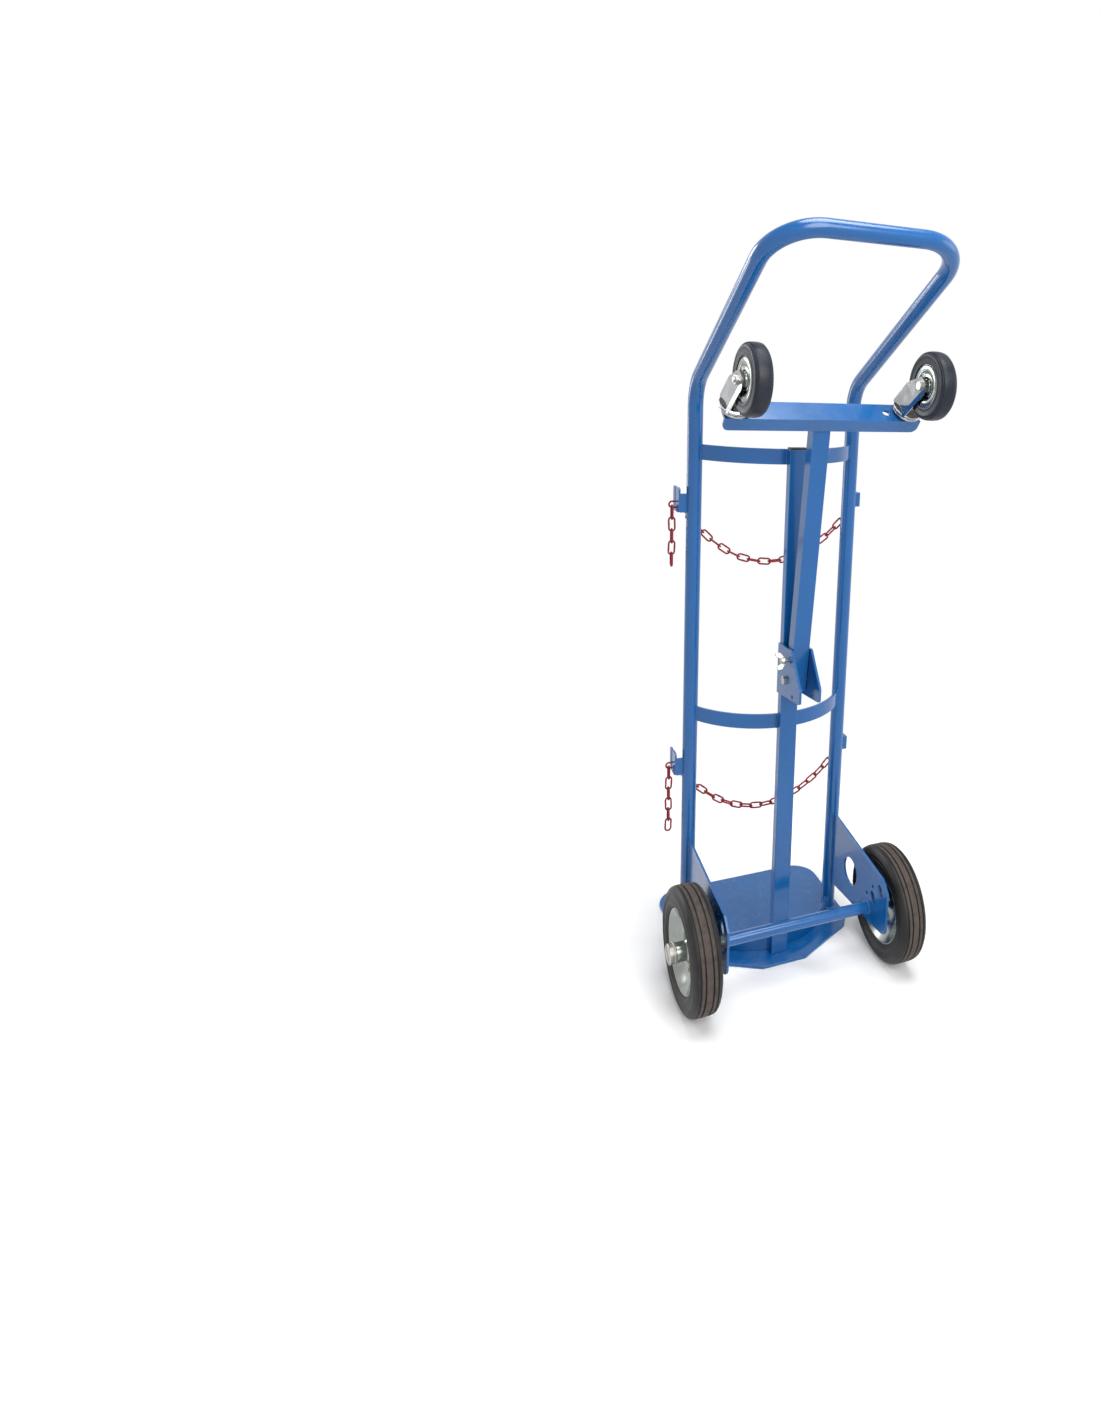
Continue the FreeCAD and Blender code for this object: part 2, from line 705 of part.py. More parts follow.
def makeCasterBar():
    """An angle bar across the leg's end: one flange carries the casters, the other stiffens it."""
    end = "(barLength / 2)"
    backEdge = f"(-{hangInner} - barThick)"
    flange = plate([(f"-{end}", backEdge), (end, backEdge), (end, freeEdge), (f"-{end}", freeEdge)],
                   "barThick", rounds=[("barRound", (2, 3))])
    seat(flange, 0, 0, "-barThick")
    hanging = plate([(f"-{end}", "-barDrop"), (end, "-barDrop"), (end, 0), (f"-{end}", 0)],
                    "barThick", rounds=[("barRound", (0, 1))])
    seat(hanging, 0, f"-{hangInner}", 0, FreeCAD.Rotation(xAxis, 90))
    holes = [rod("kingDiameter / 2 + runGap", "barThick * 3", f"{way} * {spacing} / 2", f"-{boltBack}",
                 "-barThick * 2")
             for way in sides.values() for spacing in ("casterSpacing", "spareSpacing")]
    bar = cut(fuse(flange, hanging), *holes)
    node("caster_bar", lean(bar, casterLean, 0, legTopY, legTopZ))


casterY = f"({legTopY} - {boltBack} * cos{casterLean})"
casterZ = f"({legTopZ} - {boltBack} * sin{casterLean})"
crownLow = "(raceHeight + sideGap)"
crownTop = f"({crownLow} + forkGauge)"
kingFlats = 19
kingNutHeight = 8
kingWasher = 2.5


def onCaster(way, item):
    """Puts an item made in a caster's own frame, Z along the swivel axis, on the folded bar."""
    return lean(item, casterLean, f"{way} * casterSpacing / 2", casterY, casterZ)


def makeSwivels():
    """The fixed half of each caster: bolt, washer, upper race and nut."""
    bolts = []
    washers = []
    races = []
    nuts = []
    kingRadius = "(kingDiameter / 2)"
    for way in sides.values():
        underBar = f"(barThick + {kingWasher})"
        head = seat(hexagon(kingFlats, 7.5), z=f"-{underBar}", turn=FreeCAD.Rotation(xAxis, 180))
        shankLength = f"({underBar} + {crownTop} + sideGap + {kingNutHeight} + 1)"
        shank = rod(kingRadius, f"{shankLength} + 1", z=f"-{underBar} - 1")
        bolts.append(onCaster(way, fuse(head, shank)))
        washer = seat(ringOf(f"{kingRadius} + runGap", "kingDiameter", kingWasher), z=f"-{underBar}")
        washers.append(onCaster(way, group(washer)))
        race = turned([(f"{kingRadius} + runGap", 0), ("raceOuter / 2 - 3", 0),
                       ("raceOuter / 2", "raceHeight * 0.4"), ("raceOuter / 2", "raceHeight * 0.75"),
                       ("raceOuter / 2 - 3", "raceHeight"), (f"{kingRadius} + runGap", "raceHeight")],
                      [(1.5, (2, 3))])
        races.append(onCaster(way, race))
        nut = seat(hexNut("kingDiameter", kingFlats, kingNutHeight), z=f"{crownTop} + sideGap")
        nuts.append(onCaster(way, group(nut)))
    node("caster_bolts", group(*bolts))
    node("caster_washers", group(*washers))
    node("caster_races", group(*races))
    node("caster_nuts", group(*nuts))


def makeFork(side, way):
    """Crown plate and two tapered legs that trail the wheel behind the swivel axis."""
    bossRadius = 10
    hole = ("-casterTrail", "casterHeight", "casterAxle / 2 + runGap")
    crownFront = "(crownOuter * 0.41)"
    crownBack = "(crownOuter * 0.41)"
    shoulder = "(casterTrail * 0.25)"
    outline = [(crownFront, crownLow),
               (f"-{crownBack}", crownLow),
               (f"-casterTrail - {bossRadius} - 1", "casterHeight - 8"),
               (f"-casterTrail - {bossRadius}", f"casterHeight + {bossRadius}"),
               (f"-casterTrail + {bossRadius}", f"casterHeight + {bossRadius}"),
               (shoulder, "casterHeight * 0.7")]
    legs = []
    for start in ("-forkGap / 2 - forkGauge", "forkGap / 2"):
        leg = plate(outline, "forkGauge", [hole], [(7, (3, 4)), (12, (2,)), (22, (5,)), (3, (0, 1))])
        legs.append(seat(leg, start, turn=sideways))
    crown = turned([("kingDiameter / 2 + runGap", crownLow), ("crownOuter / 2", crownLow),
                    ("crownOuter / 2", crownTop), ("kingDiameter / 2 + runGap", crownTop)],
                   [("forkGauge / 2.5", (1, 2))])
    node(f"{side}_caster_fork", onCaster(way, fuse(crown, *legs)))

    outside = "(forkGap / 2 + forkGauge)"
    bolt = hexBolt("casterAxle", 13, 5.3, f"2 * {outside} + 9")
    seat(bolt, f"{-way} * {outside}", "-casterTrail", "casterHeight", alongMinusX if way > 0 else alongX)
    node(f"{side}_caster_axle_bolt", onCaster(way, group(bolt)))
    nut = hexNut("casterAxle", 13, 6.5)
    seat(nut, f"{way} * {outside}", "-casterTrail", "casterHeight", alongX if way > 0 else alongMinusX)
    node(f"{side}_caster_axle_nut", onCaster(way, group(nut)))


def makeCasterWheel(side, way):
    """A rubber tyre on a pressed metal centre with stepped side discs."""
    hubHalf = "(forkGap / 2 - sideGap)"
    seatRadius = "(casterHub / 2)"
    treadHalf = "(casterWidth / 2)"
    outer = "(casterOuter / 2)"
    centre = turned(mirroredProfile([("casterAxle / 2 + runGap", hubHalf),
                                     ("casterAxle + 2", hubHalf),
                                     ("casterAxle + 2", f"{treadHalf} - 3"),
                                     (f"{seatRadius} - 12", f"{treadHalf} - 3"),
                                     (f"{seatRadius} - 9", f"{treadHalf} - 0.5"),
                                     (f"{seatRadius} - 2", f"{treadHalf} - 0.5"),
                                     (seatRadius, f"{treadHalf} - 1.5")]),
                    [(1, (1, 12)), (1.2, (4, 5, 8, 9))])
    seat(centre, 0, "-casterTrail", "casterHeight", alongX)
    node(f"{side}_caster_centre", onCaster(way, group(centre)))
    tyre = turned(mirroredProfile([(seatRadius, f"{treadHalf} - 1.5"),
                                   (f"{seatRadius} + 1.5", treadHalf),
                                   (f"{outer} - 6", treadHalf),
                                   (f"{outer} - 1.5", f"{treadHalf} - 5"),
                                   (outer, 3)]),
                  [(3, (2, 7)), (5, (3, 6))])
    seat(tyre, 0, "-casterTrail", "casterHeight", alongX)
    node(f"{side}_caster_tyre", onCaster(way, group(tyre)))


linkHalfWidth = "(linkWidth / 2 + wire)"
hookSlotLow = f"({linkHalfWidth} + runGap)"


def makeHook(label, height):
    """Angle bracket on the left upright with an open slot that catches a chain link."""
    low = f"({height} - {hookSlotLow} - anchorRim)"
    horn = f"({height} + hookHorn)"
    slotLow = f"{height} - {hookSlotLow}"
    slotBack = "chainFront - hookSlot / 2"
    slotFront = "chainFront + hookSlot / 2"
    back = "-hookThick / 2"
    corners = [(back, low), ("hookFront", low), ("hookFront", horn), (slotFront, horn),
               (slotFront, slotLow), (slotBack, slotLow), (slotBack, horn), (back, horn)]
    slotted = plate(corners, "hookThick", rounds=[("hookSlot / 2.2", (4, 5)), (4, (0, 1, 2, 7)),
                                                  (2, (3, 6))])
    seat(slotted, "-hookOut - hookThick", turn=sideways)
    tab = box(f"hookOut - {uprightX}", "hookThick", "hookTall", "-hookOut", back, low)
    tube = rod(tubeRadius, "hookTall + 2", f"-{uprightX}", 0, f"{low} - 1")
    node(label, fuse(slotted, cut(tab, tube)))


def makeAnchor(label, height):
    """Angle bracket on the right upright with a round hole for the chain's last link."""
    lobe = "(anchorHole / 2 + anchorRim)"
    low = f"({height} - {lobe})"
    back = "-hookThick / 2"
    arm = box("hookThick", "chainFront + hookThick / 2", "anchorTall", "anchorOut", back, low)
    disc = rod(lobe, "hookThick", "anchorOut", "chainFront", height, alongX)
    hole = rod("anchorHole / 2", "hookThick + 2", "anchorOut - 1", "chainFront", height, alongX)
    above = box("hookThick + 2", "anchorHole", "anchorTall", "anchorOut - 1", "chainFront - anchorHole / 2",
                f"{height} + {lobe}")
    tab = box(f"anchorOut - {uprightX}", "hookThick", "anchorTall", uprightX, back, low)
    tube = rod(tubeRadius, "anchorTall + 2", uprightX, 0, f"{low} - 1")
    node(label, fuse(cut(fuse(arm, disc), hole, above), cut(tab, tube)))


def makeLink():
    """One chain link in XZ with its length along X: two half rings and two straight sides."""
    bend = "(linkWidth / 2 + wire / 2)"
    straight = "(linkInner - linkWidth)"
    pieces = []
    for way, start in ((1, -90), (-1, 90)):
        half = doc.addObject("Part::Torus", "LinkEnd")
        bind(half, "Radius1", bend)
        bind(half, "Radius2", "wire / 2")
        half.Angle3 = 180
        turn = FreeCAD.Rotation(xAxis, 90).multiply(FreeCAD.Rotation(zAxis, start))
        pieces.append(seat(half, f"{way} * {straight} / 2", turn=turn))
        pieces.append(rod("wire / 2", straight, f"-{straight} / 2", 0, f"{way} * {bend}", alongX))
    return fuse(*pieces)


def hangingSlopes(across, rise, pitch, count):
    """Slopes of equal links that hang between two points, by bisection on the chain's tension."""
    def walk(tension, middle):
        slopes = [math.atan((index - middle) / tension) for index in range(count)]
        reach = pitch * sum(math.cos(slope) for slope in slopes)
        climb = pitch * sum(math.sin(slope) for slope in slopes)
        return slopes, reach, climb

    middle = (count - 1) / 2
    for refinement in range(40):
        slack, tight = 0.01, 1000.0
        for step in range(60):
            tension = math.sqrt(slack * tight)
            slopes, reach, climb = walk(tension, middle)
            if reach < across:
                slack = tension
            else:
                tight = tension
        middle -= (rise - climb) / pitch
    return slopes


def placeLink(shape, centre, slope, quarter):
    """A copy of the link, turned a quarter about its length if asked, then sloped in XZ."""
    turn = FreeCAD.Rotation(yAxis, -math.degrees(slope))
    if quarter:
        turn = turn.multiply(FreeCAD.Rotation(xAxis, 90))
    copy = shape.copy()
    copy.Placement = FreeCAD.Placement(centre, turn)
    return copy


def makeChain(level, height, tailLinks):
    """A chain that hangs from the right anchor to the hook, with its spare links below the hook."""
    link = makeLink()
    doc.recompute()
    shape = link.Shape
    wire = size("wire")
    inner = size("linkInner")
    bend = (inner - size("linkWidth")) / 2
    pitch = inner - size("linkSlack")
    reach = (inner + wire) / 2
    front = size("chainFront")
    slack = size("linkSlack")
    count = int(size("spanLinks"))
    hookX = -size("hookOut") - size("hookThick") / 2
    lift = FreeCAD.Vector(0, front, height)

    lodged = lift + FreeCAD.Vector(hookX, 0, 0)
    hookLink = doc.addObject("Part::Feature", "HookLink")
    hookLink.Shape = placeLink(shape, lodged, 0, False)
    node(f"{level}_hook_link", hookLink)

    eye = size("linkWidth") / 2 - wire / 2 - slack
    rim = (size("anchorHole") + size("anchorRim")) / 2
    first = lodged + FreeCAD.Vector(bend, 0, 0)
    last = lift + FreeCAD.Vector(size("anchorOut") + size("hookThick") / 2, 0, -rim)
    slopes = [-1.0] + [0.0] * (count - 2) + [1.0]
    for refinement in range(12):
        out = FreeCAD.Vector(math.cos(slopes[0]), 0, math.sin(slopes[0]))
        home = FreeCAD.Vector(math.cos(slopes[-1]), 0, math.sin(slopes[-1]))
        start = first + out * (eye + reach - pitch / 2)
        stop = last + home * (pitch / 2 - bend)
        slopes = hangingSlopes(stop.x - start.x, stop.z - start.z, pitch, count)
    links = []
    joint = start
    for index, slope in enumerate(slopes):
        step = FreeCAD.Vector(math.cos(slope), 0, math.sin(slope)) * pitch
        links.append(placeLink(shape, joint + step * 0.5, slope, index % 2 == 0))
        joint = joint + step
    span = doc.addObject("Part::Feature", "ChainSpan")
    span.Shape = Part.makeCompound(links)
    node(f"{level}_chain", span)

    hang = lodged + FreeCAD.Vector(-bend, 0, slack - size("linkWidth") / 2 + wire / 2 - reach)
    tail = []
    for index in range(tailLinks):
        centre = hang - FreeCAD.Vector(0, 0, pitch * index)
        tail.append(placeLink(shape, centre, math.pi / 2, index % 2 == 0))
    spare = doc.addObject("Part::Feature", "ChainTail")
    spare.Shape = Part.makeCompound(tail)
    node(f"{level}_chain_tail", spare)
    sag = start.z - min(one.BoundBox.Center.z for one in links)
    print(f"{level} chain: {count} links, {count * pitch:.0f} mm, sag {sag:.0f} mm")


def makeChains():
    for level in ("upper", "lower"):
        makeHook(f"{level}_chain_hook", f"{level}Chain")
        makeAnchor(f"{level}_chain_anchor", f"{level}Chain")
        makeChain(level, size(f"{level}Chain"), int(size(f"{level}TailLinks")))


makeFrameTube()
makeBasePlate()
makeBands()
makeCentrePost()
makeAxlePlates()
makeAxle()
makeBracket()
makeLockScrew()
makeLeg()
makeCasterBar()
makeSwivels()
for sideName, sideSign in sides.items():
    makeWheel(sideName, sideSign)
    makeFork(sideName, sideSign)
    makeCasterWheel(sideName, sideSign)
makeChains()
doc.recompute()

failed = [item.Label for item in doc.Objects if "Invalid" in item.State or "Error" in item.State]
if failed:
    raise RuntimeError("objects that did not build: " + ", ".join(failed))
for label, item in nodes.items():
    if item.Shape.isNull() or not item.Shape.isValid() or not item.Shape.Solids:
        raise RuntimeError("no valid solid in " + label)

os.makedirs("parts", exist_ok=True)
for label, item in nodes.items():
    item.Shape.exportStep(f"parts/{label}.step")
    print(f"{label}: {len(item.Shape.Solids)} solids, {item.Shape.Volume / 1000:.1f} cm3")
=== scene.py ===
import bmesh
import bpy
import json
import math
from mathutils import Matrix, Vector


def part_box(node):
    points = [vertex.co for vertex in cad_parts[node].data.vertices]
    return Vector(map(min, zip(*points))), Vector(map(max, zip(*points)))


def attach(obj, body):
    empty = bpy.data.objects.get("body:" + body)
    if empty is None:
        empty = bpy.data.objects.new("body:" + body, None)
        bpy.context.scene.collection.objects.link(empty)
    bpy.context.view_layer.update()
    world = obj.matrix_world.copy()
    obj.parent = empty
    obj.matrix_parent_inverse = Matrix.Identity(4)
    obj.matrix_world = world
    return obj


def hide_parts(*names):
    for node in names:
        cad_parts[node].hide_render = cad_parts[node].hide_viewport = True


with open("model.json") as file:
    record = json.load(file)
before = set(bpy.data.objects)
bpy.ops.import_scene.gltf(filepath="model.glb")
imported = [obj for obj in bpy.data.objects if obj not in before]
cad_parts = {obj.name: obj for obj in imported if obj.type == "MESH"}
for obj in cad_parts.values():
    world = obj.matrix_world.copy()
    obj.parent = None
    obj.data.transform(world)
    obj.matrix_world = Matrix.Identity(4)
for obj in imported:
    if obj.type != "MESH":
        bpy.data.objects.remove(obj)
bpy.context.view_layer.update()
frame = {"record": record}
record = frame["record"]
bodyOfNode = {node: body for body, nodes in record["behaviour"]["bodies"].items() for node in nodes}
slotOfNode = {part["node"]: part["material_slot"] for part in record["subparts"]}
scene = bpy.context.scene
scene.view_settings.view_transform = "Standard"
xAxis = Vector((1, 0, 0))
yAxis = Vector((0, 1, 0))
zAxis = Vector((0, 0, 1))
sideWays = {"left": -1, "right": 1}
print("frame loaded,", len(bodyOfNode), "nodes")


# Camera, worked out from the photograph's vanishing lines, for a frame of 1100 by 1422
cameraPlan = {
    "target": (0.078, 0.005, 0.726),
    "distance": 1.542,
    "azimuth": -24.78,
    "elevation": 11.33,
    "roll": 2.56,
    "focalPixels": 879,
    "lensAxis": (813, 541),
    "frameSize": (1100, 1422),
    "sensor": 36,
    "clip": (0.05, 200),
}


def placeCamera(plan):
    azimuth, elevation, roll = [math.radians(plan[word]) for word in ("azimuth", "elevation", "roll")]
    back = Vector((math.sin(azimuth) * math.cos(elevation), -math.cos(azimuth) * math.cos(elevation),
                   math.sin(elevation)))
    across = Vector((math.cos(azimuth), math.sin(azimuth), 0))
    above = back.cross(across)
    right = across * math.cos(roll) + above * math.sin(roll)
    up = above * math.cos(roll) - across * math.sin(roll)
    data = bpy.data.cameras.new("photoCamera")
    camera = bpy.data.objects.new("photoCamera", data)
    scene.collection.objects.link(camera)
    turn = Matrix((right, up, back)).transposed().to_4x4()
    camera.matrix_world = Matrix.Translation(Vector(plan["target"]) + back * plan["distance"]) @ turn
    wide, tall = plan["frameSize"]
    data.sensor_width = plan["sensor"]
    data.lens = plan["focalPixels"] / tall * plan["sensor"]
    data.shift_x = (wide / 2 - plan["lensAxis"][0]) / tall
    data.shift_y = (plan["lensAxis"][1] - tall / 2) / tall
    data.clip_start, data.clip_end = plan["clip"]
    scene.camera = camera


placeCamera(cameraPlan)
print("camera placed")


# Node helpers
mixSockets = {"mask": 0, "first": 6, "second": 7, "colour": 2}  # a Mix node's sockets for colours


def addNode(tree, kind, **settings):
    node = tree.nodes.new(kind)
    for word, value in settings.items():
        setattr(node, word, value)
    return node


def feed(tree, node, socket, value):
    target = node.inputs[socket]
    if isinstance(value, bpy.types.NodeSocket):
        tree.links.new(value, target)
    else:
        target.default_value = value


def mathNode(tree, operation, first, second=0.0, clamp=False):
    node = addNode(tree, "ShaderNodeMath", operation=operation, use_clamp=clamp)
    feed(tree, node, 0, first)
    feed(tree, node, 1, second)
    return node.outputs[0]


def vectorNode(tree, operation, first, second=(0, 0, 0)):
    node = addNode(tree, "ShaderNodeVectorMath", operation=operation)
    feed(tree, node, 0, first)
    feed(tree, node, 1, second)
    return node.outputs["Value" if operation == "LENGTH" else "Vector"]


def coordNode(tree, word="Object"):
    return addNode(tree, "ShaderNodeTexCoord").outputs[word]


def splitNode(tree, vector):
    node = addNode(tree, "ShaderNodeSeparateXYZ")
    tree.links.new(vector, node.inputs[0])
    return node.outputs


def noiseNode(tree, scale, detail, rough=0.55, stretch=None):
    coords = coordNode(tree)
    if stretch:
        mapping = addNode(tree, "ShaderNodeMapping")
        mapping.inputs["Scale"].default_value = stretch
        tree.links.new(coords, mapping.inputs["Vector"])
        coords = mapping.outputs["Vector"]
    noise = addNode(tree, "ShaderNodeTexNoise")
    tree.links.new(coords, noise.inputs["Vector"])
    feed(tree, noise, "Scale", scale)
    noise.inputs["Detail"].default_value = detail
    noise.inputs["Roughness"].default_value = rough
    return noise.outputs["Fac"]


def rangeNode(tree, value, low, high, toLow=0.0, toHigh=1.0):
    node = addNode(tree, "ShaderNodeMapRange", interpolation_type="SMOOTHSTEP")
    feed(tree, node, "Value", value)
    feed(tree, node, "From Min", low)
    feed(tree, node, "From Max", high)
    feed(tree, node, "To Min", toLow)
    feed(tree, node, "To Max", toHigh)
    return node.outputs["Result"]


def mixColour(tree, mask, first, second):
    node = addNode(tree, "ShaderNodeMix", data_type="RGBA")
    feed(tree, node, mixSockets["mask"], mask)
    feed(tree, node, mixSockets["first"], first)
    feed(tree, node, mixSockets["second"], second)
    return node.outputs[mixSockets["colour"]]


# Shader groups shared by the finishes
def newGroup(name, output, inputs):
    # number inputs with their usual values, and one number output
    group = bpy.data.node_groups.new(name, "ShaderNodeTree")
    sockets = group.interface
    for label, value in inputs.items():
        socket = sockets.new_socket(label, in_out="INPUT", socket_type="NodeSocketFloat")
        socket.default_value = value
    sockets.new_socket(output, in_out="OUTPUT", socket_type="NodeSocketFloat")
    return group, group.nodes.new("NodeGroupInput"), group.nodes.new("NodeGroupOutput")


cloudPlan = {"inputs": {"Scale": 8.0, "Low": 0.35, "High": 0.65}, "detail": 4.0}


def makeCloudGroup(plan):
    # broad cloudy mask for tone changes
    group, start, finish = newGroup("cloudTone", "Mask", plan["inputs"])
    noise = noiseNode(group, start.outputs["Scale"], plan["detail"])
    mask = rangeNode(group, noise, start.outputs["Low"], start.outputs["High"])
    group.links.new(mask, finish.inputs["Mask"])
    return group


dustPlan = {
    "inputs": {"Amount": 0.3, "Scale": 60.0},
    "upward": (0.35, 1.0),
    "patches": (0.42, 0.72),
    "detail": 5.0,
    "rough": 0.65,
}


def makeDustGroup(plan):
    # settles on faces that look up, broken by noise
    group, start, finish = newGroup("settledDust", "Mask", plan["inputs"])
    upward = rangeNode(group, splitNode(group, coordNode(group, "Normal"))["Z"], *plan["upward"])
    noise = noiseNode(group, start.outputs["Scale"], plan["detail"], plan["rough"])
    both = mathNode(group, "MULTIPLY", upward, rangeNode(group, noise, *plan["patches"]))
    group.links.new(mathNode(group, "MULTIPLY", both, start.outputs["Amount"], True), finish.inputs["Mask"])
    return group


scuffPlan = {
    "inputs": {"Scale": 40.0, "Amount": 0.5},
    "stretches": ((1.0, 9.0, 0.6), (7.0, 0.7, 1.4)),
    "limits": ((0.70, 0.76), (0.71, 0.77)),
    "detail": 2.0,
    "rough": 0.5,
}


def makeScuffGroup(plan):
    # sparse thin scratches, two directions
    group, start, finish = newGroup("fineScuffs", "Mask", plan["inputs"])
    strokes = []
    for stretch, limits in zip(plan["stretches"], plan["limits"]):
        noise = noiseNode(group, start.outputs["Scale"], plan["detail"], plan["rough"], stretch)
        strokes.append(rangeNode(group, noise, *limits))
    lines = mathNode(group, "MAXIMUM", *strokes)
    group.links.new(mathNode(group, "MULTIPLY", lines, start.outputs["Amount"], True), finish.inputs["Mask"])
    return group


skinPlan = {"inputs": {"Waves": 350.0, "Grain": 1800.0, "Grain Share": 0.3}, "detail": 2.0}


def makeSkinGroup(plan):
    # height of a sprayed or moulded skin: soft waves and fine grain
    group, start, finish = newGroup("skinHeight", "Height", plan["inputs"])
    waves = noiseNode(group, start.outputs["Waves"], plan["detail"])
    grain = noiseNode(group, start.outputs["Grain"], plan["detail"])
    total = mathNode(group, "ADD", waves, mathNode(group, "MULTIPLY", grain, start.outputs["Grain Share"]))
    group.links.new(total, finish.inputs["Height"])
    return group


groups = {
    "cloud": makeCloudGroup(cloudPlan),
    "dust": makeDustGroup(dustPlan),
    "scuff": makeScuffGroup(scuffPlan),
    "skin": makeSkinGroup(skinPlan),
}


def useGroup(tree, word, values):
    node = addNode(tree, "ShaderNodeGroup", node_tree=groups[word])
    for label, value in values.items():
        feed(tree, node, label, value)
    return node.outputs[0]


# Finishes
def newFinish(name, constants):
    material = bpy.data.materials.new(name)
    material.use_nodes = True
    tree = material.node_tree
    shader = tree.nodes["Principled BSDF"]
    for label, value in constants.items():
        shader.inputs[label].default_value = value
    return material, tree, shader


def twoTones(tree, look):
    # cloudy mask and the two colours of a finish mixed by it
    tone = useGroup(tree, "cloud", look["tone"])
    return tone, mixColour(tree, tone, *look["colours"])


def addSkin(tree, shader, look):
    bump = addNode(tree, "ShaderNodeBump")
    bump.inputs["Strength"].default_value = look["bump"]
    bump.inputs["Distance"].default_value = look["depth"]
    tree.links.new(useGroup(tree, "skin", look["skin"]), bump.inputs["Height"])
    tree.links.new(bump.outputs["Normal"], shader.inputs["Normal"])


paintLook = {
    "shader": {"Coat Weight": 0.35, "Coat Roughness": 0.08, "IOR": 1.45},
    "tone": {"Scale": 7.0, "Low": 0.32, "High": 0.68},
    "colours": ((0.0016, 0.084, 0.274, 1), (0.0028, 0.093, 0.300, 1)),
    "scuffs": {"Scale": 70.0, "Amount": 0.05},
    "scuffColour": (0.10, 0.27, 0.56, 1),
    "dust": {"Amount": 0.06, "Scale": 70.0},
    "dustColour": (0.30, 0.36, 0.44, 1),
    "dustDulls": 0.5,
    "sheen": {"Scale": 45.0, "Low": 0.3, "High": 0.7},
    "rough": (0.20, 0.25),
    "skin": {"Waves": 260.0, "Grain": 1500.0, "Grain Share": 0.15},
    "bump": 0.012,
    "depth": 0.0004,
}


def makeBluePaint(look):
    material, tree, shader = newFinish("bluePaint", look["shader"])
    colour = twoTones(tree, look)[1]
    colour = mixColour(tree, useGroup(tree, "scuff", look["scuffs"]), colour, look["scuffColour"])
    dust = useGroup(tree, "dust", look["dust"])
    colour = mixColour(tree, dust, colour, look["dustColour"])
    tree.links.new(colour, shader.inputs["Base Color"])
    rough = rangeNode(tree, useGroup(tree, "cloud", look["sheen"]), 0.0, 1.0, *look["rough"])
    rough = mathNode(tree, "ADD", rough, mathNode(tree, "MULTIPLY", dust, look["dustDulls"]), True)
    tree.links.new(rough, shader.inputs["Roughness"])
    addSkin(tree, shader, look)
    return material


tyreLook = {
    "shader": {"IOR": 1.45, "Specular IOR Level": 0.35},
    "tone": {"Scale": 30.0, "Low": 0.3, "High": 0.7},
    "colours": ((0.0085, 0.0082, 0.0086, 1), (0.0180, 0.0172, 0.0168, 1)),
    "dustColour": (0.082, 0.064, 0.055, 1),
    "ribDepth": (0.0016, 0.0004),
    "ribAside": (0.0105, 0.0135),
    "patchNoise": (90.0, 4.0, 0.6),
    "patches": (0.25, 0.62, 0.35, 1.0),
    "specks": {"Scale": 160.0, "Low": 0.55, "High": 0.8},
    "speckShare": 0.10,
    "rough": (0.50, 0.85),
    "skin": {"Waves": 500.0, "Grain": 2600.0, "Grain Share": 0.5},
    "bump": 0.12,
    "depth": 0.0004,
}


def makeTyreRubber(look, centre, radius):
    # brown road dust on the raised ribs, by distance from the axle line and from the wheel's middle
    material, tree, shader = newFinish("tyreRubber", look["shader"])
    colour = twoTones(tree, look)[1]
    coords = coordNode(tree)
    offset = vectorNode(tree, "SUBTRACT", coords, (0, centre[1], centre[2]))
    fromAxle = vectorNode(tree, "LENGTH", vectorNode(tree, "MULTIPLY", offset, (0, 1, 1)))
    onRib = rangeNode(tree, fromAxle, *[radius - depth for depth in look["ribDepth"]])
    aside = mathNode(tree, "ABSOLUTE", splitNode(tree, coords)["X"])
    aside = mathNode(tree, "ABSOLUTE", mathNode(tree, "SUBTRACT", aside, centre[0]))
    onRib = mathNode(tree, "MULTIPLY", onRib, rangeNode(tree, aside, *look["ribAside"], 1.0, 0.0))
    patches = rangeNode(tree, noiseNode(tree, *look["patchNoise"]), *look["patches"])
    dust = mathNode(tree, "MULTIPLY", onRib, patches, True)
    specks = mathNode(tree, "MULTIPLY", useGroup(tree, "cloud", look["specks"]), look["speckShare"])
    dust = mathNode(tree, "MAXIMUM", dust, specks)
    tree.links.new(mixColour(tree, dust, colour, look["dustColour"]), shader.inputs["Base Color"])
    tree.links.new(rangeNode(tree, dust, 0.0, 1.0, *look["rough"]), shader.inputs["Roughness"])
    addSkin(tree, shader, look)
    return material


casterLook = {
    "shader": {"IOR": 1.48, "Specular IOR Level": 0.28},
    "tone": {"Scale": 40.0, "Low": 0.3, "High": 0.7},
    "colours": ((0.0080, 0.0108, 0.0185, 1), (0.0140, 0.0180, 0.0285, 1)),
    "specks": {"Scale": 210.0, "Low": 0.58, "High": 0.8},
    "speckShare": 0.35,
    "dustColour": (0.045, 0.052, 0.066, 1),
    "rough": (0.38, 0.52),
    "skin": {"Waves": 420.0, "Grain": 2400.0, "Grain Share": 0.4},
    "bump": 0.04,
    "depth": 0.0004,
}


def makeCasterRubber(look):
    material, tree, shader = newFinish("casterRubber", look["shader"])
    tone, colour = twoTones(tree, look)
    specks = mathNode(tree, "MULTIPLY", useGroup(tree, "cloud", look["specks"]), look["speckShare"])
    tree.links.new(mixColour(tree, specks, colour, look["dustColour"]), shader.inputs["Base Color"])
    tree.links.new(rangeNode(tree, tone, 0.0, 1.0, *look["rough"]), shader.inputs["Roughness"])
    addSkin(tree, shader, look)
    return material


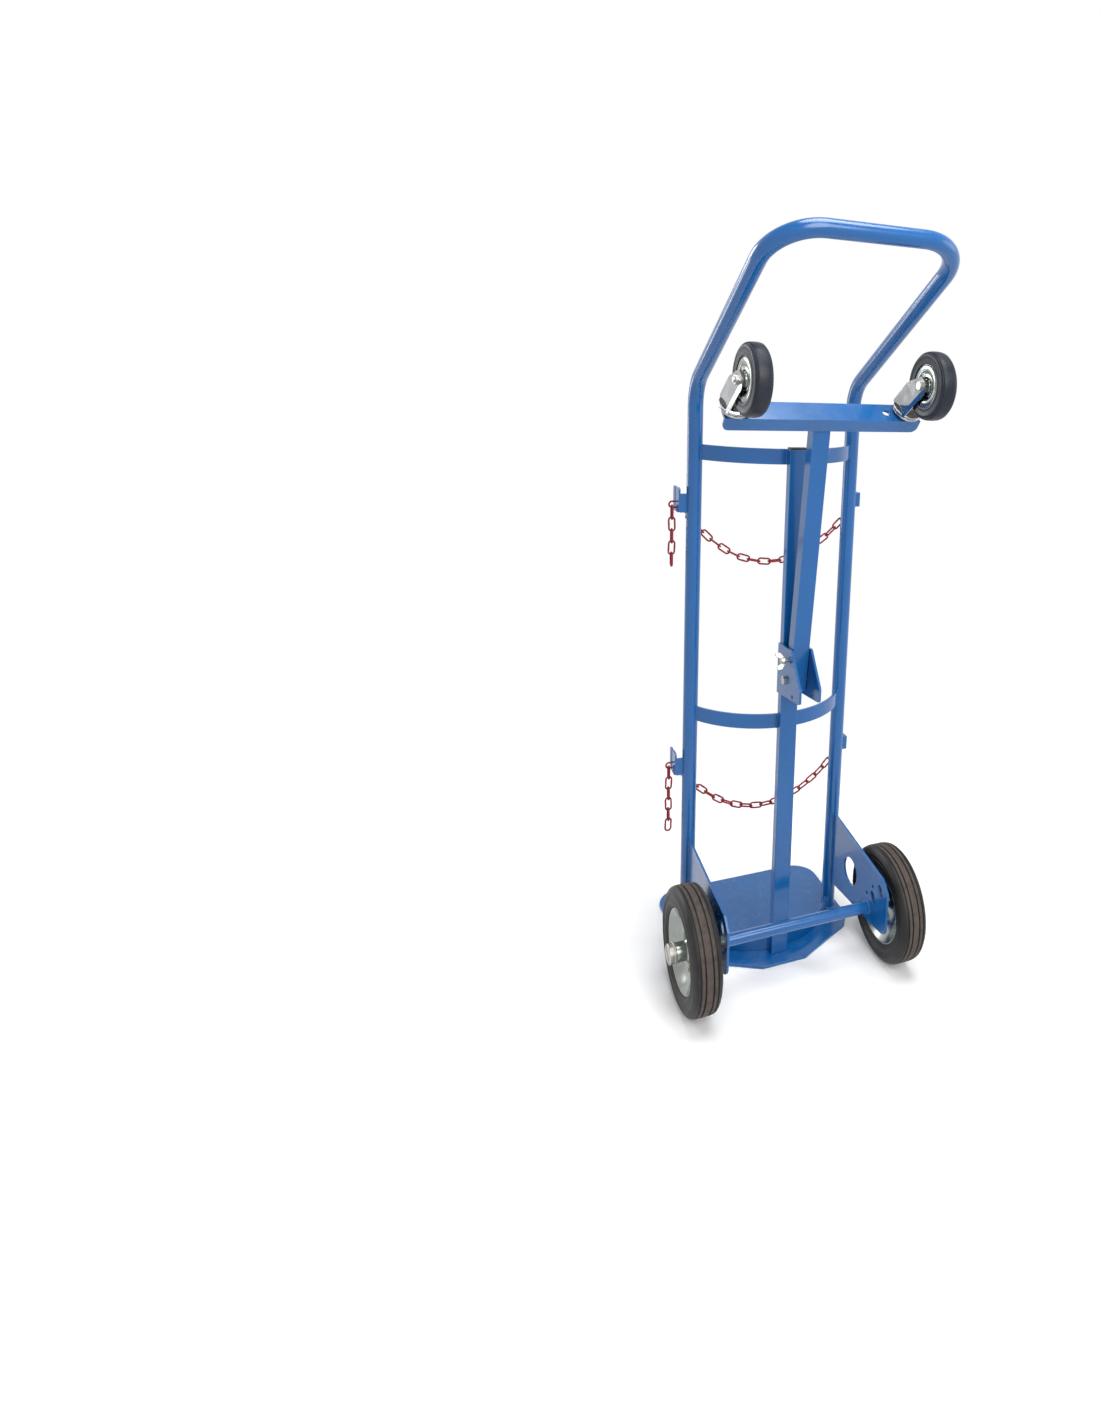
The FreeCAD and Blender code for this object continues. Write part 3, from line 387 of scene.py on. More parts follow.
platingLook = {
    "shader": {"Metallic": 1.0},
    "stainShare": 0.3,
    "scratchDulls": 0.12,
    "skin": {"Waves": 300.0, "Grain": 1800.0, "Grain Share": 0.2},
    "bump": 0.012,
    "depth": 0.0003,
}
rimLook = {
    "tone": {"Scale": 26.0, "Low": 0.3, "High": 0.7},
    "colours": ((0.225, 0.245, 0.230, 1), (0.30, 0.32, 0.305, 1)),
    "rough": (0.16, 0.26),
    "scratches": {"Scale": 60.0, "Amount": 1.0},
}
fastenerLook = {
    "tone": {"Scale": 90.0, "Low": 0.3, "High": 0.7},
    "colours": ((0.40, 0.385, 0.355, 1), (0.48, 0.465, 0.435, 1)),
    "rough": (0.33, 0.43),
    "scratches": {"Scale": 180.0, "Amount": 1.0},
    "stains": {"Scale": 54.0, "Low": 0.55, "High": 0.8},
    "stainColour": (0.33, 0.28, 0.22, 1),
}
forkLook = {
    "tone": {"Scale": 60.0, "Low": 0.3, "High": 0.7},
    "colours": ((0.33, 0.34, 0.35, 1), (0.42, 0.43, 0.44, 1)),
    "rough": (0.08, 0.16),
    "scratches": {"Scale": 120.0, "Amount": 1.0},
}


def makePlating(name, look):
    look = {**platingLook, **look}
    material, tree, shader = newFinish(name, look["shader"])
    tone, colour = twoTones(tree, look)
    if "stains" in look:
        stains = mathNode(tree, "MULTIPLY", useGroup(tree, "cloud", look["stains"]), look["stainShare"])
        colour = mixColour(tree, stains, colour, look["stainColour"])
    tree.links.new(colour, shader.inputs["Base Color"])
    scratches = mathNode(tree, "MULTIPLY", useGroup(tree, "scuff", look["scratches"]), look["scratchDulls"])
    rough = rangeNode(tree, tone, 0.0, 1.0, *look["rough"])
    tree.links.new(mathNode(tree, "ADD", rough, scratches, True), shader.inputs["Roughness"])
    addSkin(tree, shader, look)
    return material


chainLook = {
    "shader": {"IOR": 1.45, "Specular IOR Level": 0.3},
    "tone": {"Scale": 120.0, "Low": 0.3, "High": 0.7},
    "colours": ((0.185, 0.007, 0.016, 1), (0.270, 0.012, 0.026, 1)),
    "rubs": {"Scale": 160.0, "Amount": 0.2},
    "rubColour": (0.36, 0.08, 0.09, 1),
    "rough": (0.40, 0.52),
    "skin": {"Waves": 900.0, "Grain": 3000.0, "Grain Share": 0.3},
    "bump": 0.04,
    "depth": 0.0003,
}


def makeChainRed(look):
    material, tree, shader = newFinish("chainRed", look["shader"])
    tone, colour = twoTones(tree, look)
    colour = mixColour(tree, useGroup(tree, "scuff", look["rubs"]), colour, look["rubColour"])
    tree.links.new(colour, shader.inputs["Base Color"])
    tree.links.new(rangeNode(tree, tone, 0.0, 1.0, *look["rough"]), shader.inputs["Roughness"])
    addSkin(tree, shader, look)
    return material


plasticLook = {
    "shader": {"IOR": 1.46},
    "tone": {"Scale": 60.0, "Low": 0.3, "High": 0.7},
    "colours": ((0.012, 0.012, 0.013, 1), (0.026, 0.026, 0.028, 1)),
    "rough": (0.42, 0.58),
    "skin": {"Waves": 1500.0, "Grain": 3200.0, "Grain Share": 0.6},
    "bump": 0.25,
    "depth": 0.0003,
}


def makeBlackPlastic(look):
    material, tree, shader = newFinish("blackPlastic", look["shader"])
    tone, colour = twoTones(tree, look)
    tree.links.new(colour, shader.inputs["Base Color"])
    tree.links.new(rangeNode(tree, tone, 0.0, 1.0, *look["rough"]), shader.inputs["Roughness"])
    addSkin(tree, shader, look)
    return material


wheelPlan = {"centre": (0.180, -0.158, 0.100), "radius": 0.100}
finishes = {
    "blue_paint": makeBluePaint(paintLook),
    "wheel_rubber": makeTyreRubber(tyreLook, wheelPlan["centre"], wheelPlan["radius"]),
    "caster_rubber": makeCasterRubber(casterLook),
    "zinc_rim": makePlating("zincRim", rimLook),
    "zinc_fastener": makePlating("zincFastener", fastenerLook),
    "chrome_fork": makePlating("brightFork", forkLook),
    "red_chain": makeChainRed(chainLook),
    "black_plastic": makeBlackPlastic(plasticLook),
}
print("finishes made,", len(finishes))


# Modelling helpers
easePlan = {"mergeGap": 1e-6, "flatAngle": 0.3, "segments": 2, "edgeAngle": 30, "shade": 32, "weight": 100}


def deselectAll():
    if bpy.context.mode != "OBJECT":
        bpy.ops.object.mode_set(mode="OBJECT")
    bpy.ops.object.select_all(action="DESELECT")


def activate(piece):
    deselectAll()
    piece.select_set(True)
    bpy.context.view_layer.objects.active = piece


def editAll(piece):
    activate(piece)
    bpy.ops.object.mode_set(mode="EDIT")
    bpy.ops.mesh.select_mode(type="VERT")
    bpy.ops.mesh.select_all(action="SELECT")


def leaveEdit():
    bpy.ops.object.mode_set(mode="OBJECT")


def extrude(step):
    bpy.ops.mesh.extrude_region_move(TRANSFORM_OT_translate={"value": step})


def cleanSkin(piece, gap=easePlan["mergeGap"]):
    editAll(piece)
    bpy.ops.mesh.remove_doubles(threshold=gap)
    bpy.ops.mesh.normals_make_consistent(inside=False)
    leaveEdit()


def softenEdges(piece, width, angle=easePlan["edgeAngle"]):
    activate(piece)
    bevel = piece.modifiers.new("softEdges", "BEVEL")
    bevel.width = width
    bevel.segments = easePlan["segments"]
    bevel.limit_method = "ANGLE"
    bevel.angle_limit = math.radians(angle)
    bevel.harden_normals = True
    bpy.ops.object.modifier_apply(modifier=bevel.name)


def smoothShade(piece, angle=easePlan["shade"]):
    activate(piece)
    bpy.ops.object.shade_smooth_by_angle(angle=math.radians(angle))


def evenShade(piece):
    # broad flats keep their own normals beside eased edges
    activate(piece)
    even = piece.modifiers.new("evenShade", "WEIGHTED_NORMAL")
    even.mode = "FACE_AREA"
    even.weight = easePlan["weight"]
    even.keep_sharp = True
    bpy.ops.object.modifier_apply(modifier=even.name)


def finishPiece(piece, body, slot, nodes=()):
    piece.data.materials.clear()
    piece.data.materials.append(finishes[slot])
    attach(piece, body)
    if nodes:
        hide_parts(*nodes)
    return piece


def nameNewest(name):
    piece = bpy.context.active_object
    piece.name = name
    piece.data.name = name
    return piece


def settleNewest(name):
    # names a new primitive and puts its place, turn and size into its mesh
    piece = nameNewest(name)
    bpy.ops.object.transform_apply(location=True, rotation=True, scale=True)
    return piece


def copyPiece(piece, name, move):
    # a copy with its own mesh, placed by a matrix that goes into the mesh
    twin = bpy.data.objects.new(name, piece.data.copy())
    scene.collection.objects.link(twin)
    twin.data.name = name
    twin.data.transform(move)
    return twin


def joinPieces(pieces, name):
    deselectAll()
    for piece in pieces:
        piece.select_set(True)
    bpy.context.view_layer.objects.active = pieces[0]
    if len(pieces) > 1:
        bpy.ops.object.join()
    return nameNewest(name)


def mergedNode(node, ending):
    # copy of a CAD node, its loose triangles merged to whole faces
    piece = bpy.data.objects.new(f"{node}.{ending}", bpy.data.objects[node].data.copy())
    scene.collection.objects.link(piece)
    editAll(piece)
    bpy.ops.mesh.remove_doubles(threshold=easePlan["mergeGap"])
    bpy.ops.mesh.dissolve_limited(angle_limit=math.radians(easePlan["flatAngle"]))
    leaveEdit()
    return piece


def softNode(node, width):
    # a CAD node's shape with eased edges, in the node's place
    piece = mergedNode(node, "soft")
    softenEdges(piece, width)
    smoothShade(piece)
    evenShade(piece)
    return finishPiece(piece, bodyOfNode[node], slotOfNode[node], [node])


def turnedPiece(name, profile, steps, shade):
    # closed profile of (x, radius) about the X axis, drawn point by point and spun
    deselectAll()
    bpy.ops.mesh.primitive_plane_add(size=0.001)  # any small size, it shrinks to the first point
    piece = nameNewest(name)
    editAll(piece)
    bpy.ops.mesh.merge(type="CENTER")
    spots = [Vector((x, 0, radius)) for x, radius in profile]
    bpy.ops.transform.translate(value=spots[0])
    for here, there in zip(spots, spots[1:]):
        extrude(there - here)
    skin = bmesh.from_edit_mesh(piece.data)
    for vertex in skin.verts:
        vertex.select_set(len(vertex.link_edges) == 1)
    skin.select_flush_mode()
    bmesh.update_edit_mesh(piece.data)
    bpy.ops.mesh.edge_face_add()
    bpy.ops.mesh.select_all(action="SELECT")
    bpy.ops.mesh.spin(steps=steps, angle=2 * math.pi, center=(0, 0, 0), axis=(1, 0, 0))
    leaveEdit()
    cleanSkin(piece)
    smoothShade(piece, shade)
    return piece


# Frame tube, one bent length from foot to foot
tubePlan = {
    "radius": 0.0125,
    "half": 0.141,
    "foot": 0.005,
    "bendHeight": 0.990,
    "bendRadius": 0.060,
    "back": 0.320,
    "rise": 0.207,
    "cornerRadius": 0.070,
    "around": 48,
    "bendSteps": 18,
    "cornerSteps": 28,
    "shade": 40,
}


def makeFrameTube(plan):
    armLength = math.hypot(plan["back"], plan["rise"])
    arm = Vector((0, -plan["back"], plan["rise"])) / armLength
    turn = arm.angle(zAxis)
    bendTrim = plan["bendRadius"] * math.tan(turn / 2)
    cornerTrim = plan["cornerRadius"]
    straight = armLength - bendTrim - cornerTrim
    rise = plan["bendHeight"] - bendTrim - plan["foot"]
    across = 2 * (plan["half"] - cornerTrim)
    cornerAxis = arm.cross(xAxis)
    tip = Vector((-plan["half"], 0, plan["foot"]))
    deselectAll()
    bpy.ops.mesh.primitive_circle_add(vertices=plan["around"], radius=plan["radius"], fill_type="NOTHING",
                                      location=tip)
    piece = settleNewest("frame_tube.bent")
    editAll(piece)

    def run(step):
        nonlocal tip
        extrude(step)
        tip = tip + step

    def bend(inward, axis, angle, radius, steps):
        nonlocal tip
        centre = tip + inward * radius
        bpy.ops.mesh.spin(steps=steps, angle=-angle, center=centre, axis=axis)
        tip = centre + Matrix.Rotation(angle, 3, axis) @ (tip - centre)

    run(zAxis * rise)
    bend(-yAxis, xAxis, turn, plan["bendRadius"], plan["bendSteps"])
    run(arm * straight)
    bend(xAxis, cornerAxis, math.pi / 2, plan["cornerRadius"], plan["cornerSteps"])
    run(xAxis * across)
    bend(-arm, cornerAxis, math.pi / 2, plan["cornerRadius"], plan["cornerSteps"])
    run(-arm * straight)
    below = Vector((0, -plan["rise"], -plan["back"])) / armLength
    bend(below, -xAxis, turn, plan["bendRadius"], plan["bendSteps"])
    run(-zAxis * rise)
    leaveEdit()
    cleanSkin(piece)
    smoothShade(piece, plan["shade"])
    return finishPiece(piece, "root", "blue_paint",
                       ["left_upright", "right_upright", "left_handle_arm", "right_handle_arm",
                        "left_handle_corner", "right_handle_corner"])


frameTube = makeFrameTube(tubePlan)
print("frame tube bent, box", [round(v, 4) for v in frameTube.dimensions])


# Bands, flat bar rolled to an arc between the uprights
bandPlan = {
    "nodes": ("upper_band", "middle_band", "lower_band"),
    "centre": (0, 0.07585),
    "faces": (0.15485, 0.15985),
    "halfTurn": 58.0,
    "ease": 0.0008,
    "easeSteps": 2,
    "steps": 72,
    "shade": 40,
}


def makeBand(plan, node):
    low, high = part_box(node)
    inner, outer = plan["faces"]
    x, y = plan["centre"]
    turn = math.radians(plan["halfTurn"])
    deselectAll()
    bpy.ops.mesh.primitive_plane_add(size=1, rotation=(0, math.pi / 2, 0))
    bpy.context.active_object.scale = (high[2] - low[2], outer - inner, 1)
    piece = settleNewest(f"{node}.rolled")
    editAll(piece)
    bpy.ops.mesh.bevel(offset=plan["ease"], offset_type="OFFSET", segments=plan["easeSteps"],
                       affect="VERTICES")
    bpy.ops.mesh.select_all(action="SELECT")
    bpy.ops.transform.translate(value=(x, y - (inner + outer) / 2, (low[2] + high[2]) / 2))
    bpy.ops.transform.rotate(value=turn, orient_axis="Z", center_override=(x, y, 0))
    bpy.ops.mesh.spin(steps=plan["steps"], angle=-2 * turn, center=(x, y, 0), axis=(0, 0, 1))
    leaveEdit()
    cleanSkin(piece)
    ends = [math.degrees(math.atan2(v.co.x, y - v.co.y)) for v in piece.data.vertices]
    print(node, "rolled from", round(min(ends), 1), "to", round(max(ends), 1), "degrees")
    smoothShade(piece, plan["shade"])
    evenShade(piece)
    return finishPiece(piece, "root", "blue_paint", [node])


for node in bandPlan["nodes"]:
    makeBand(bandPlan, node)


# Plates and small hardware keep their CAD shape with eased edges of these widths
easedNodes = {
    "base_plate": 0.0008,
    "left_axle_plate": 0.0007,
    "right_axle_plate": 0.0007,
    "left_bracket_plate": 0.0006,
    "right_bracket_plate": 0.0006,
    "caster_bar": 0.0009,
    "upper_chain_hook": 0.0005,
    "lower_chain_hook": 0.0005,
    "upper_chain_anchor": 0.0005,
    "lower_chain_anchor": 0.0005,
    "post_end_plug": 0.0008,
    "centre_post": 0.0016,
    "leg_tube": 0.0016,
    "axle": 0.0004,
    "axle_spacers": 0.0004,
    "axle_washers": 0.0004,
    "axle_cap_screws": 0.0004,
    "pivot_bolt": 0.0003,
    "pivot_nut": 0.0003,
    "lock_nut": 0.0003,
    "pivot_washers": 0.0002,
    "wing_screw": 0.0005,
    "leg_pivot_bush": 0.0002,
    "caster_bolts": 0.0004,
    "caster_washers": 0.0003,
    "caster_races": 0.0003,
    "caster_nuts": 0.0004,
    "left_caster_axle_bolt": 0.0003,
    "right_caster_axle_bolt": 0.0003,
    "left_caster_axle_nut": 0.0003,
    "right_caster_axle_nut": 0.0003,
}
for node, width in easedNodes.items():
    softNode(node, width)
print("eased", len(easedNodes), "nodes")


# Caster forks, each leg's outer face pressed in along its trailing edge
forkPlan = {
    "tilt": 38.5,
    "swivel": (-0.18143, 0.96196),
    "edgeFoot": (-0.0197, 0.0083),
    "edgeTop": (-0.0390, 0.0700),
    "lip": 0.0065,
    "fold": 0.0017,
    "faceOut": 0.0185,
    "faceSlack": 2e-5,
    "ease": 0.0005,
    "edgeAngle": 12,
    "shade": 30,
}


def makeForks(plan):
    tilt = math.radians(plan["tilt"])
    ahead = Vector((0, math.cos(tilt), math.sin(tilt)))
    up = Vector((0, -math.sin(tilt), math.cos(tilt)))
    swivel = Vector((0, *plan["swivel"]))
    foot, top = [swivel + ahead * u + up * h for u, h in (plan["edgeFoot"], plan["edgeTop"])]
    rear = (top - foot).cross(xAxis).normalized()
    if rear.dot(ahead) > 0:
        rear = -rear
    foldLine = foot - rear * plan["lip"]
    for side in sideWays:
        node = f"{side}_caster_fork"
        low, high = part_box(node)
        middle = (low[0] + high[0]) / 2
        piece = mergedNode(node, "pressed")
        editAll(piece)
        bpy.ops.mesh.bisect(plane_co=foldLine, plane_no=rear)
        leaveEdit()
        for vertex in piece.data.vertices:
            beyond = (vertex.co - foldLine).dot(rear)
            aside = vertex.co.x - middle
            onFace = abs(abs(aside) - plan["faceOut"]) < plan["faceSlack"]
            if onFace and beyond > easePlan["mergeGap"]:
                vertex.co.x -= math.copysign(plan["fold"] * beyond / plan["lip"], aside)
        softenEdges(piece, plan["ease"], plan["edgeAngle"])
        smoothShade(piece, plan["shade"])
        evenShade(piece)
        finishPiece(piece, bodyOfNode[node], slotOfNode[node], [node])


makeForks(forkPlan)
print("caster forks pressed")


# Weld beads along the frame's joints, painted over
weldPlan = {
    "pitch": 0.0018,
    "size": (0.0016, 0.0022, 0.0014),
    "segments": 8,
    "rings": 5,
    "lean": 0.45,
    "shade": 80,
    "clear": 0.0004,
    "postHalf": 0.015,
    "postFront": -0.084,
    "plateHalf": 0.0020,
    "axleRadius": 0.010,
    "tabHalf": 0.0015,
    "tabSink": 0.0002,
    "tabTall": {"chain_hook": 0.031, "chain_anchor": 0.025},
    "endGap": {"band": 0.0015, "plate": 0.003, "bracket": 0.004, "tab": 0.001},
    "facing": {"band": 0.6, "plate": -0.7, "bracket": 0.8},
}


def makeBead(plan):
    deselectAll()
    bpy.ops.mesh.primitive_uv_sphere_add(segments=plan["segments"], ring_count=plan["rings"], radius=1)
    bpy.context.active_object.scale = plan["size"]
    piece = settleNewest("beadShape")
    # each ripple leans back over the one before it
    for vertex in piece.data.vertices:
        if vertex.co.z > 0:
            vertex.co.x -= vertex.co.z * plan["lean"]
    smoothShade(piece, plan["shade"])
    return piece


def uprightRun(plan, spot, bottom, top, out):
    # beads up a seam that stands at this spot of the plan view
    start, end = Vector((*spot, bottom)), Vector((*spot, top))
    count = max(2, round((end - start).length / plan["pitch"]))
    return [(start.lerp(end, step / count), zAxis, Vector((*out, 0))) for step in range(count + 1)]


def ringRun(plan, centre, radius, axis):
    # beads round a tube or bar where it meets a plate, facing out and along the axis
    first = axis.orthogonal().normalized()
    reach = radius + plan["clear"]
    count = round(2 * math.pi * reach / plan["pitch"])
    spots = []
    for step in range(count):
        out = Matrix.Rotation(2 * math.pi * step / count, 3, axis) @ first
        spots.append((Vector(centre) + out * reach, axis.cross(out), (out + axis).normalized()))
    return spots


def meetTube(radius, way):
    # where a band face of this radius meets the upright, on the rear side
    tubeAt = Vector((way * tubePlan["half"], 0))
    gap = Vector(bandPlan["centre"]) - tubeAt
    span = gap.length
    along = (tubePlan["radius"] ** 2 - radius ** 2 + span ** 2) / (2 * span)
    aside = math.sqrt(tubePlan["radius"] ** 2 - along ** 2)
    base = tubeAt + gap / span * along
    sides = [base + Vector((-gap.y, gap.x)) / span * aside * turn for turn in (1, -1)]
    return min(sides, key=lambda spot: spot.y)


def nodeSpan(node, gap):
    # heights of a CAD node's foot and top, less a gap at each end
    low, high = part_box(node)
    return low[2] + gap, high[2] - gap


def sideWelds(plan, side, way):
    tubeX, tubeRadius = tubePlan["half"], tubePlan["radius"]
    endGap, facing = plan["endGap"], plan["facing"]
    runs = [ringRun(plan, (way * tubeX, 0, tubePlan["foot"]), tubeRadius, zAxis)]
    for band in bandPlan["nodes"]:
        span = nodeSpan(band, endGap["band"])
        for radius, away in zip(bandPlan["faces"], (-1, 1)):
            spot = meetTube(radius, way)
            out = (spot - Vector(bandPlan["centre"])).normalized() * away
            runs.append(uprightRun(plan, spot, *span, out))
        spot = (way * plan["postHalf"], plan["postFront"] + plan["clear"])
        runs.append(uprightRun(plan, spot, *span, (way, facing["band"])))
    span = nodeSpan(f"{side}_axle_plate", endGap["plate"])
    for face in (-1, 1):
        spot = (way * tubeX + face * plan["plateHalf"], -math.sqrt(tubeRadius ** 2 - plan["plateHalf"] ** 2))
        runs.append(uprightRun(plan, spot, *span, (face, facing["plate"])))
    axleAt = (way * (tubeX - plan["plateHalf"]), *wheelPlan["centre"][1:])
    runs.append(ringRun(plan, axleAt, plan["axleRadius"], Vector((-way, 0, 0))))
    bracket = f"{side}_bracket_plate"
    spot = (way * plan["postHalf"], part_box(bracket)[1][1])
    runs.append(uprightRun(plan, spot, *nodeSpan(bracket, endGap["bracket"]), (way, facing["bracket"])))
    return runs


def tabWelds(plan):
    runs = []
    reach = tubePlan["half"] + tubePlan["radius"] - plan["tabSink"]
    for level in ("upper", "lower"):
        for word, way in (("chain_hook", -1), ("chain_anchor", 1)):
            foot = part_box(f"{level}_{word}")[0][2]
            span = (foot + plan["endGap"]["tab"], foot + plan["tabTall"][word] - plan["endGap"]["tab"])
            for face in (-1, 1):
                runs.append(uprightRun(plan, (way * reach, face * plan["tabHalf"]), *span, (way, face)))
    return runs


def makeWelds(plan):
    bead = makeBead(plan)
    beads = []
    runs = [run for side, way in sideWays.items() for run in sideWelds(plan, side, way)]
    for run in runs + tabWelds(plan):
        for spot, along, out in run:
            out = (out - along * out.dot(along)).normalized()
            turn = Matrix((along, out.cross(along), out)).transposed().to_4x4()
            beads.append(copyPiece(bead, f"bead{len(beads)}", Matrix.Translation(spot) @ turn))
    bpy.data.objects.remove(bead)
    finishPiece(joinPieces(beads, "weld_beads"), "root", "blue_paint")
    print("weld beads laid,", len(beads))


makeWelds(weldPlan)


# Main wheels: ribbed tyre, two pressed rim halves and a plain hub
tyrePlan = {
    "half": [(0.0105, 0.0566), (0.0178, 0.0652), (0.0183, 0.0668), (0.0205, 0.0674), (0.0222, 0.0700),
             (0.0229, 0.0726), (0.0236, 0.0734), (0.0236, 0.0748), (0.0230, 0.0756), (0.0230, 0.0800),
             (0.0235, 0.0806), (0.0235, 0.0818), (0.0230, 0.0824), (0.0231, 0.0858), (0.0239, 0.0868),
             (0.0240, 0.0888), (0.0232, 0.0900), (0.0222, 0.0930), (0.0206, 0.0958), (0.0186, 0.0979),
             (0.0166, 0.0989), (0.0151, 0.0993), (0.0147, 0.0991), (0.0144, 0.0980), (0.0133, 0.0980),
             (0.0130, 0.0994), (0.0126, 0.0998), (0.0100, 0.1000), (0.0078, 0.1000), (0.0074, 0.0996),
             (0.0071, 0.0972), (0.0053, 0.0972), (0.0050, 0.0996), (0.0046, 0.1000)],
    "steps": 144,
    "shade": 38,
}
rimPlan = {
    "half": [(0.0000, 0.0156), (0.0000, 0.0430), (0.0010, 0.0450), (0.0050, 0.0492), (0.0100, 0.0545),
             (0.0150, 0.0602), (0.0176, 0.0640), (0.0180, 0.0655), (0.0185, 0.0663), (0.0192, 0.0665),
             (0.0198, 0.0661), (0.0200, 0.0652), (0.0198, 0.0643), (0.0190, 0.0631), (0.0172, 0.0604),
             (0.0150, 0.0572), (0.0126, 0.0540), (0.0100, 0.0508), (0.0074, 0.0474), (0.0052, 0.0438),
             (0.0037, 0.0402), (0.0028, 0.0366), (0.0024, 0.0330), (0.0023, 0.0296), (0.0026, 0.0262),
             (0.0036, 0.0230), (0.0054, 0.0202), (0.0080, 0.0180), (0.0108, 0.0168), (0.0114, 0.0164),
             (0.0114, 0.0156)],
    "steps": 120,
    "shade": 40,
}
hubPlan = {
    "half": [(0.0280, 0.01005), (0.0280, 0.0146), (0.0276, 0.0152), (0.0268, 0.0155), (0.0116, 0.0155)],
    "steps": 96,
    "shade": 38,
}


def bothHalves(half):
    return half + [(-x, radius) for x, radius in reversed(half)]


def wheelFace(way):
    # puts a piece that was turned about the X axis on its wheel's centre, with +X away from the frame
    x, y, z = wheelPlan["centre"]
    return Matrix.Translation((way * x, y, z)) @ Matrix.Rotation(0 if way > 0 else math.pi, 4, "Z")


def makeMainWheels():
    tyre = turnedPiece("tyreShape", bothHalves(tyrePlan["half"]), tyrePlan["steps"], tyrePlan["shade"])
    rim = turnedPiece("rimShape", rimPlan["half"], rimPlan["steps"], rimPlan["shade"])
    innerRim = copyPiece(rim, "rimInnerShape", Matrix.Rotation(math.pi, 4, "Z"))
    hub = turnedPiece("hubShape", bothHalves(hubPlan["half"]), hubPlan["steps"], hubPlan["shade"])
    made = {
        "wheel_tyre": (tyre, "wheel_rubber"),
        "rim_outer_half": (rim, "zinc_rim"),
        "rim_inner_half": (innerRim, "zinc_rim"),
        "wheel_hub": (hub, "zinc_rim"),
    }
    for side, way in sideWays.items():
        for word, (shape, slot) in made.items():
            piece = copyPiece(shape, f"{side}_{word}.turned", wheelFace(way))
            finishPiece(piece, f"{side}_main_wheel", slot, [f"{side}_{word}"])
    for shape in (tyre, rim, innerRim, hub):
        bpy.data.objects.remove(shape)


makeMainWheels()
print("main wheels turned")


# Nuts and screw ends that hold the two rim halves together
rimNutPlan = {
    "circle": 0.0310,
    "web": 0.0022,
    "count": 4,
    "across": 0.0100,
    "tall": 0.0045,
    "screw": 0.0029,
    "proud": 0.0022,
    "tipInset": 0.25,
    "tipTall": 0.2,
    "ease": 0.0003,
    "start": 20,
}


def makeRimNuts(plan):
    deselectAll()
    bpy.ops.mesh.primitive_cylinder_add(vertices=6, radius=plan["across"] / math.sqrt(3), depth=plan["tall"],
                                        location=(plan["tall"] / 2, 0, 0), rotation=(0, math.pi / 2, 0))
    nut = settleNewest("nutShape")
    bpy.ops.object.mode_set(mode="EDIT")
    bpy.ops.mesh.select_mode(type="FACE")
    bpy.ops.mesh.select_all(action="DESELECT")
    skin = bmesh.from_edit_mesh(nut.data)
    outerFace = max(skin.faces, key=lambda face: face.normal.x)
    outerFace.select_set(True)
    bmesh.update_edit_mesh(nut.data)
    bpy.ops.mesh.inset(thickness=plan["across"] / 2 - plan["screw"])
    extrude((plan["proud"], 0, 0))
    bpy.ops.mesh.inset(thickness=plan["screw"] * plan["tipInset"])
    extrude((plan["screw"] * plan["tipTall"], 0, 0))
    leaveEdit()
    softenEdges(nut, plan["ease"])
    smoothShade(nut)
    for side, way in sideWays.items():
        nuts = []
        for index in range(plan["count"]):
            turn = math.radians(plan["start"] + 360 / plan["count"] * index)
            spot = Matrix.Rotation(turn, 4, "X") @ Matrix.Translation((plan["web"], 0, plan["circle"]))
            nuts.append(copyPiece(nut, f"{side}_rim_nut{index}", wheelFace(way) @ spot))
        finishPiece(joinPieces(nuts, f"{side}_rim_nuts"), f"{side}_main_wheel", "zinc_fastener")
    bpy.data.objects.remove(nut)


makeRimNuts(rimNutPlan)
print("rim nuts set")


# Casters: smooth rubber on a stepped zinc centre
casterPlan = {
    "tyreHalf": [(0.0115, 0.0310), (0.0127, 0.0317), (0.0130, 0.0328), (0.0130, 0.0350), (0.0124, 0.0357),
                 (0.0124, 0.0412), (0.0129, 0.0420), (0.0130, 0.0440), (0.0126, 0.0456), (0.0117, 0.0468),
                 (0.0108, 0.0473), (0.0105, 0.0474), (0.0102, 0.0482), (0.0094, 0.0489), (0.0072, 0.0495),
                 (0.0042, 0.0499), (0.0014, 0.0500)],
    "discHalf": [(0.0152, 0.00405), (0.0152, 0.0090), (0.0144, 0.0099), (0.0112, 0.0100), (0.0102, 0.0106),
                 (0.0101, 0.0120), (0.0108, 0.0130), (0.0108, 0.0146), (0.0100, 0.0156), (0.0100, 0.0186),
                 (0.0108, 0.0200), (0.0122, 0.0216), (0.0125, 0.0224), (0.0125, 0.0286), (0.0120, 0.0296),
                 (0.0112, 0.0302), (0.0112, 0.03095)],
    "steps": 112,
    "shade": 40,
}


def makeCasterWheels(plan):
    made = {}
    for word, half, slot in (("caster_tyre", plan["tyreHalf"], "caster_rubber"),
                             ("caster_centre", plan["discHalf"], "zinc_rim")):
        shape = turnedPiece(word + "Shape", bothHalves(half), plan["steps"], plan["shade"])
        made[word] = (shape, slot)
    for side in sideWays:
        low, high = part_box(f"{side}_caster_tyre")
        centre = (Vector(low) + Vector(high)) / 2
        for word, (shape, slot) in made.items():
            piece = copyPiece(shape, f"{side}_{word}.turned", Matrix.Translation(centre))
            finishPiece(piece, f"{side}_caster_wheel", slot, [f"{side}_{word}"])
    for shape, slot in made.values():
        bpy.data.objects.remove(shape)


makeCasterWheels(casterPlan)
print("caster wheels turned")


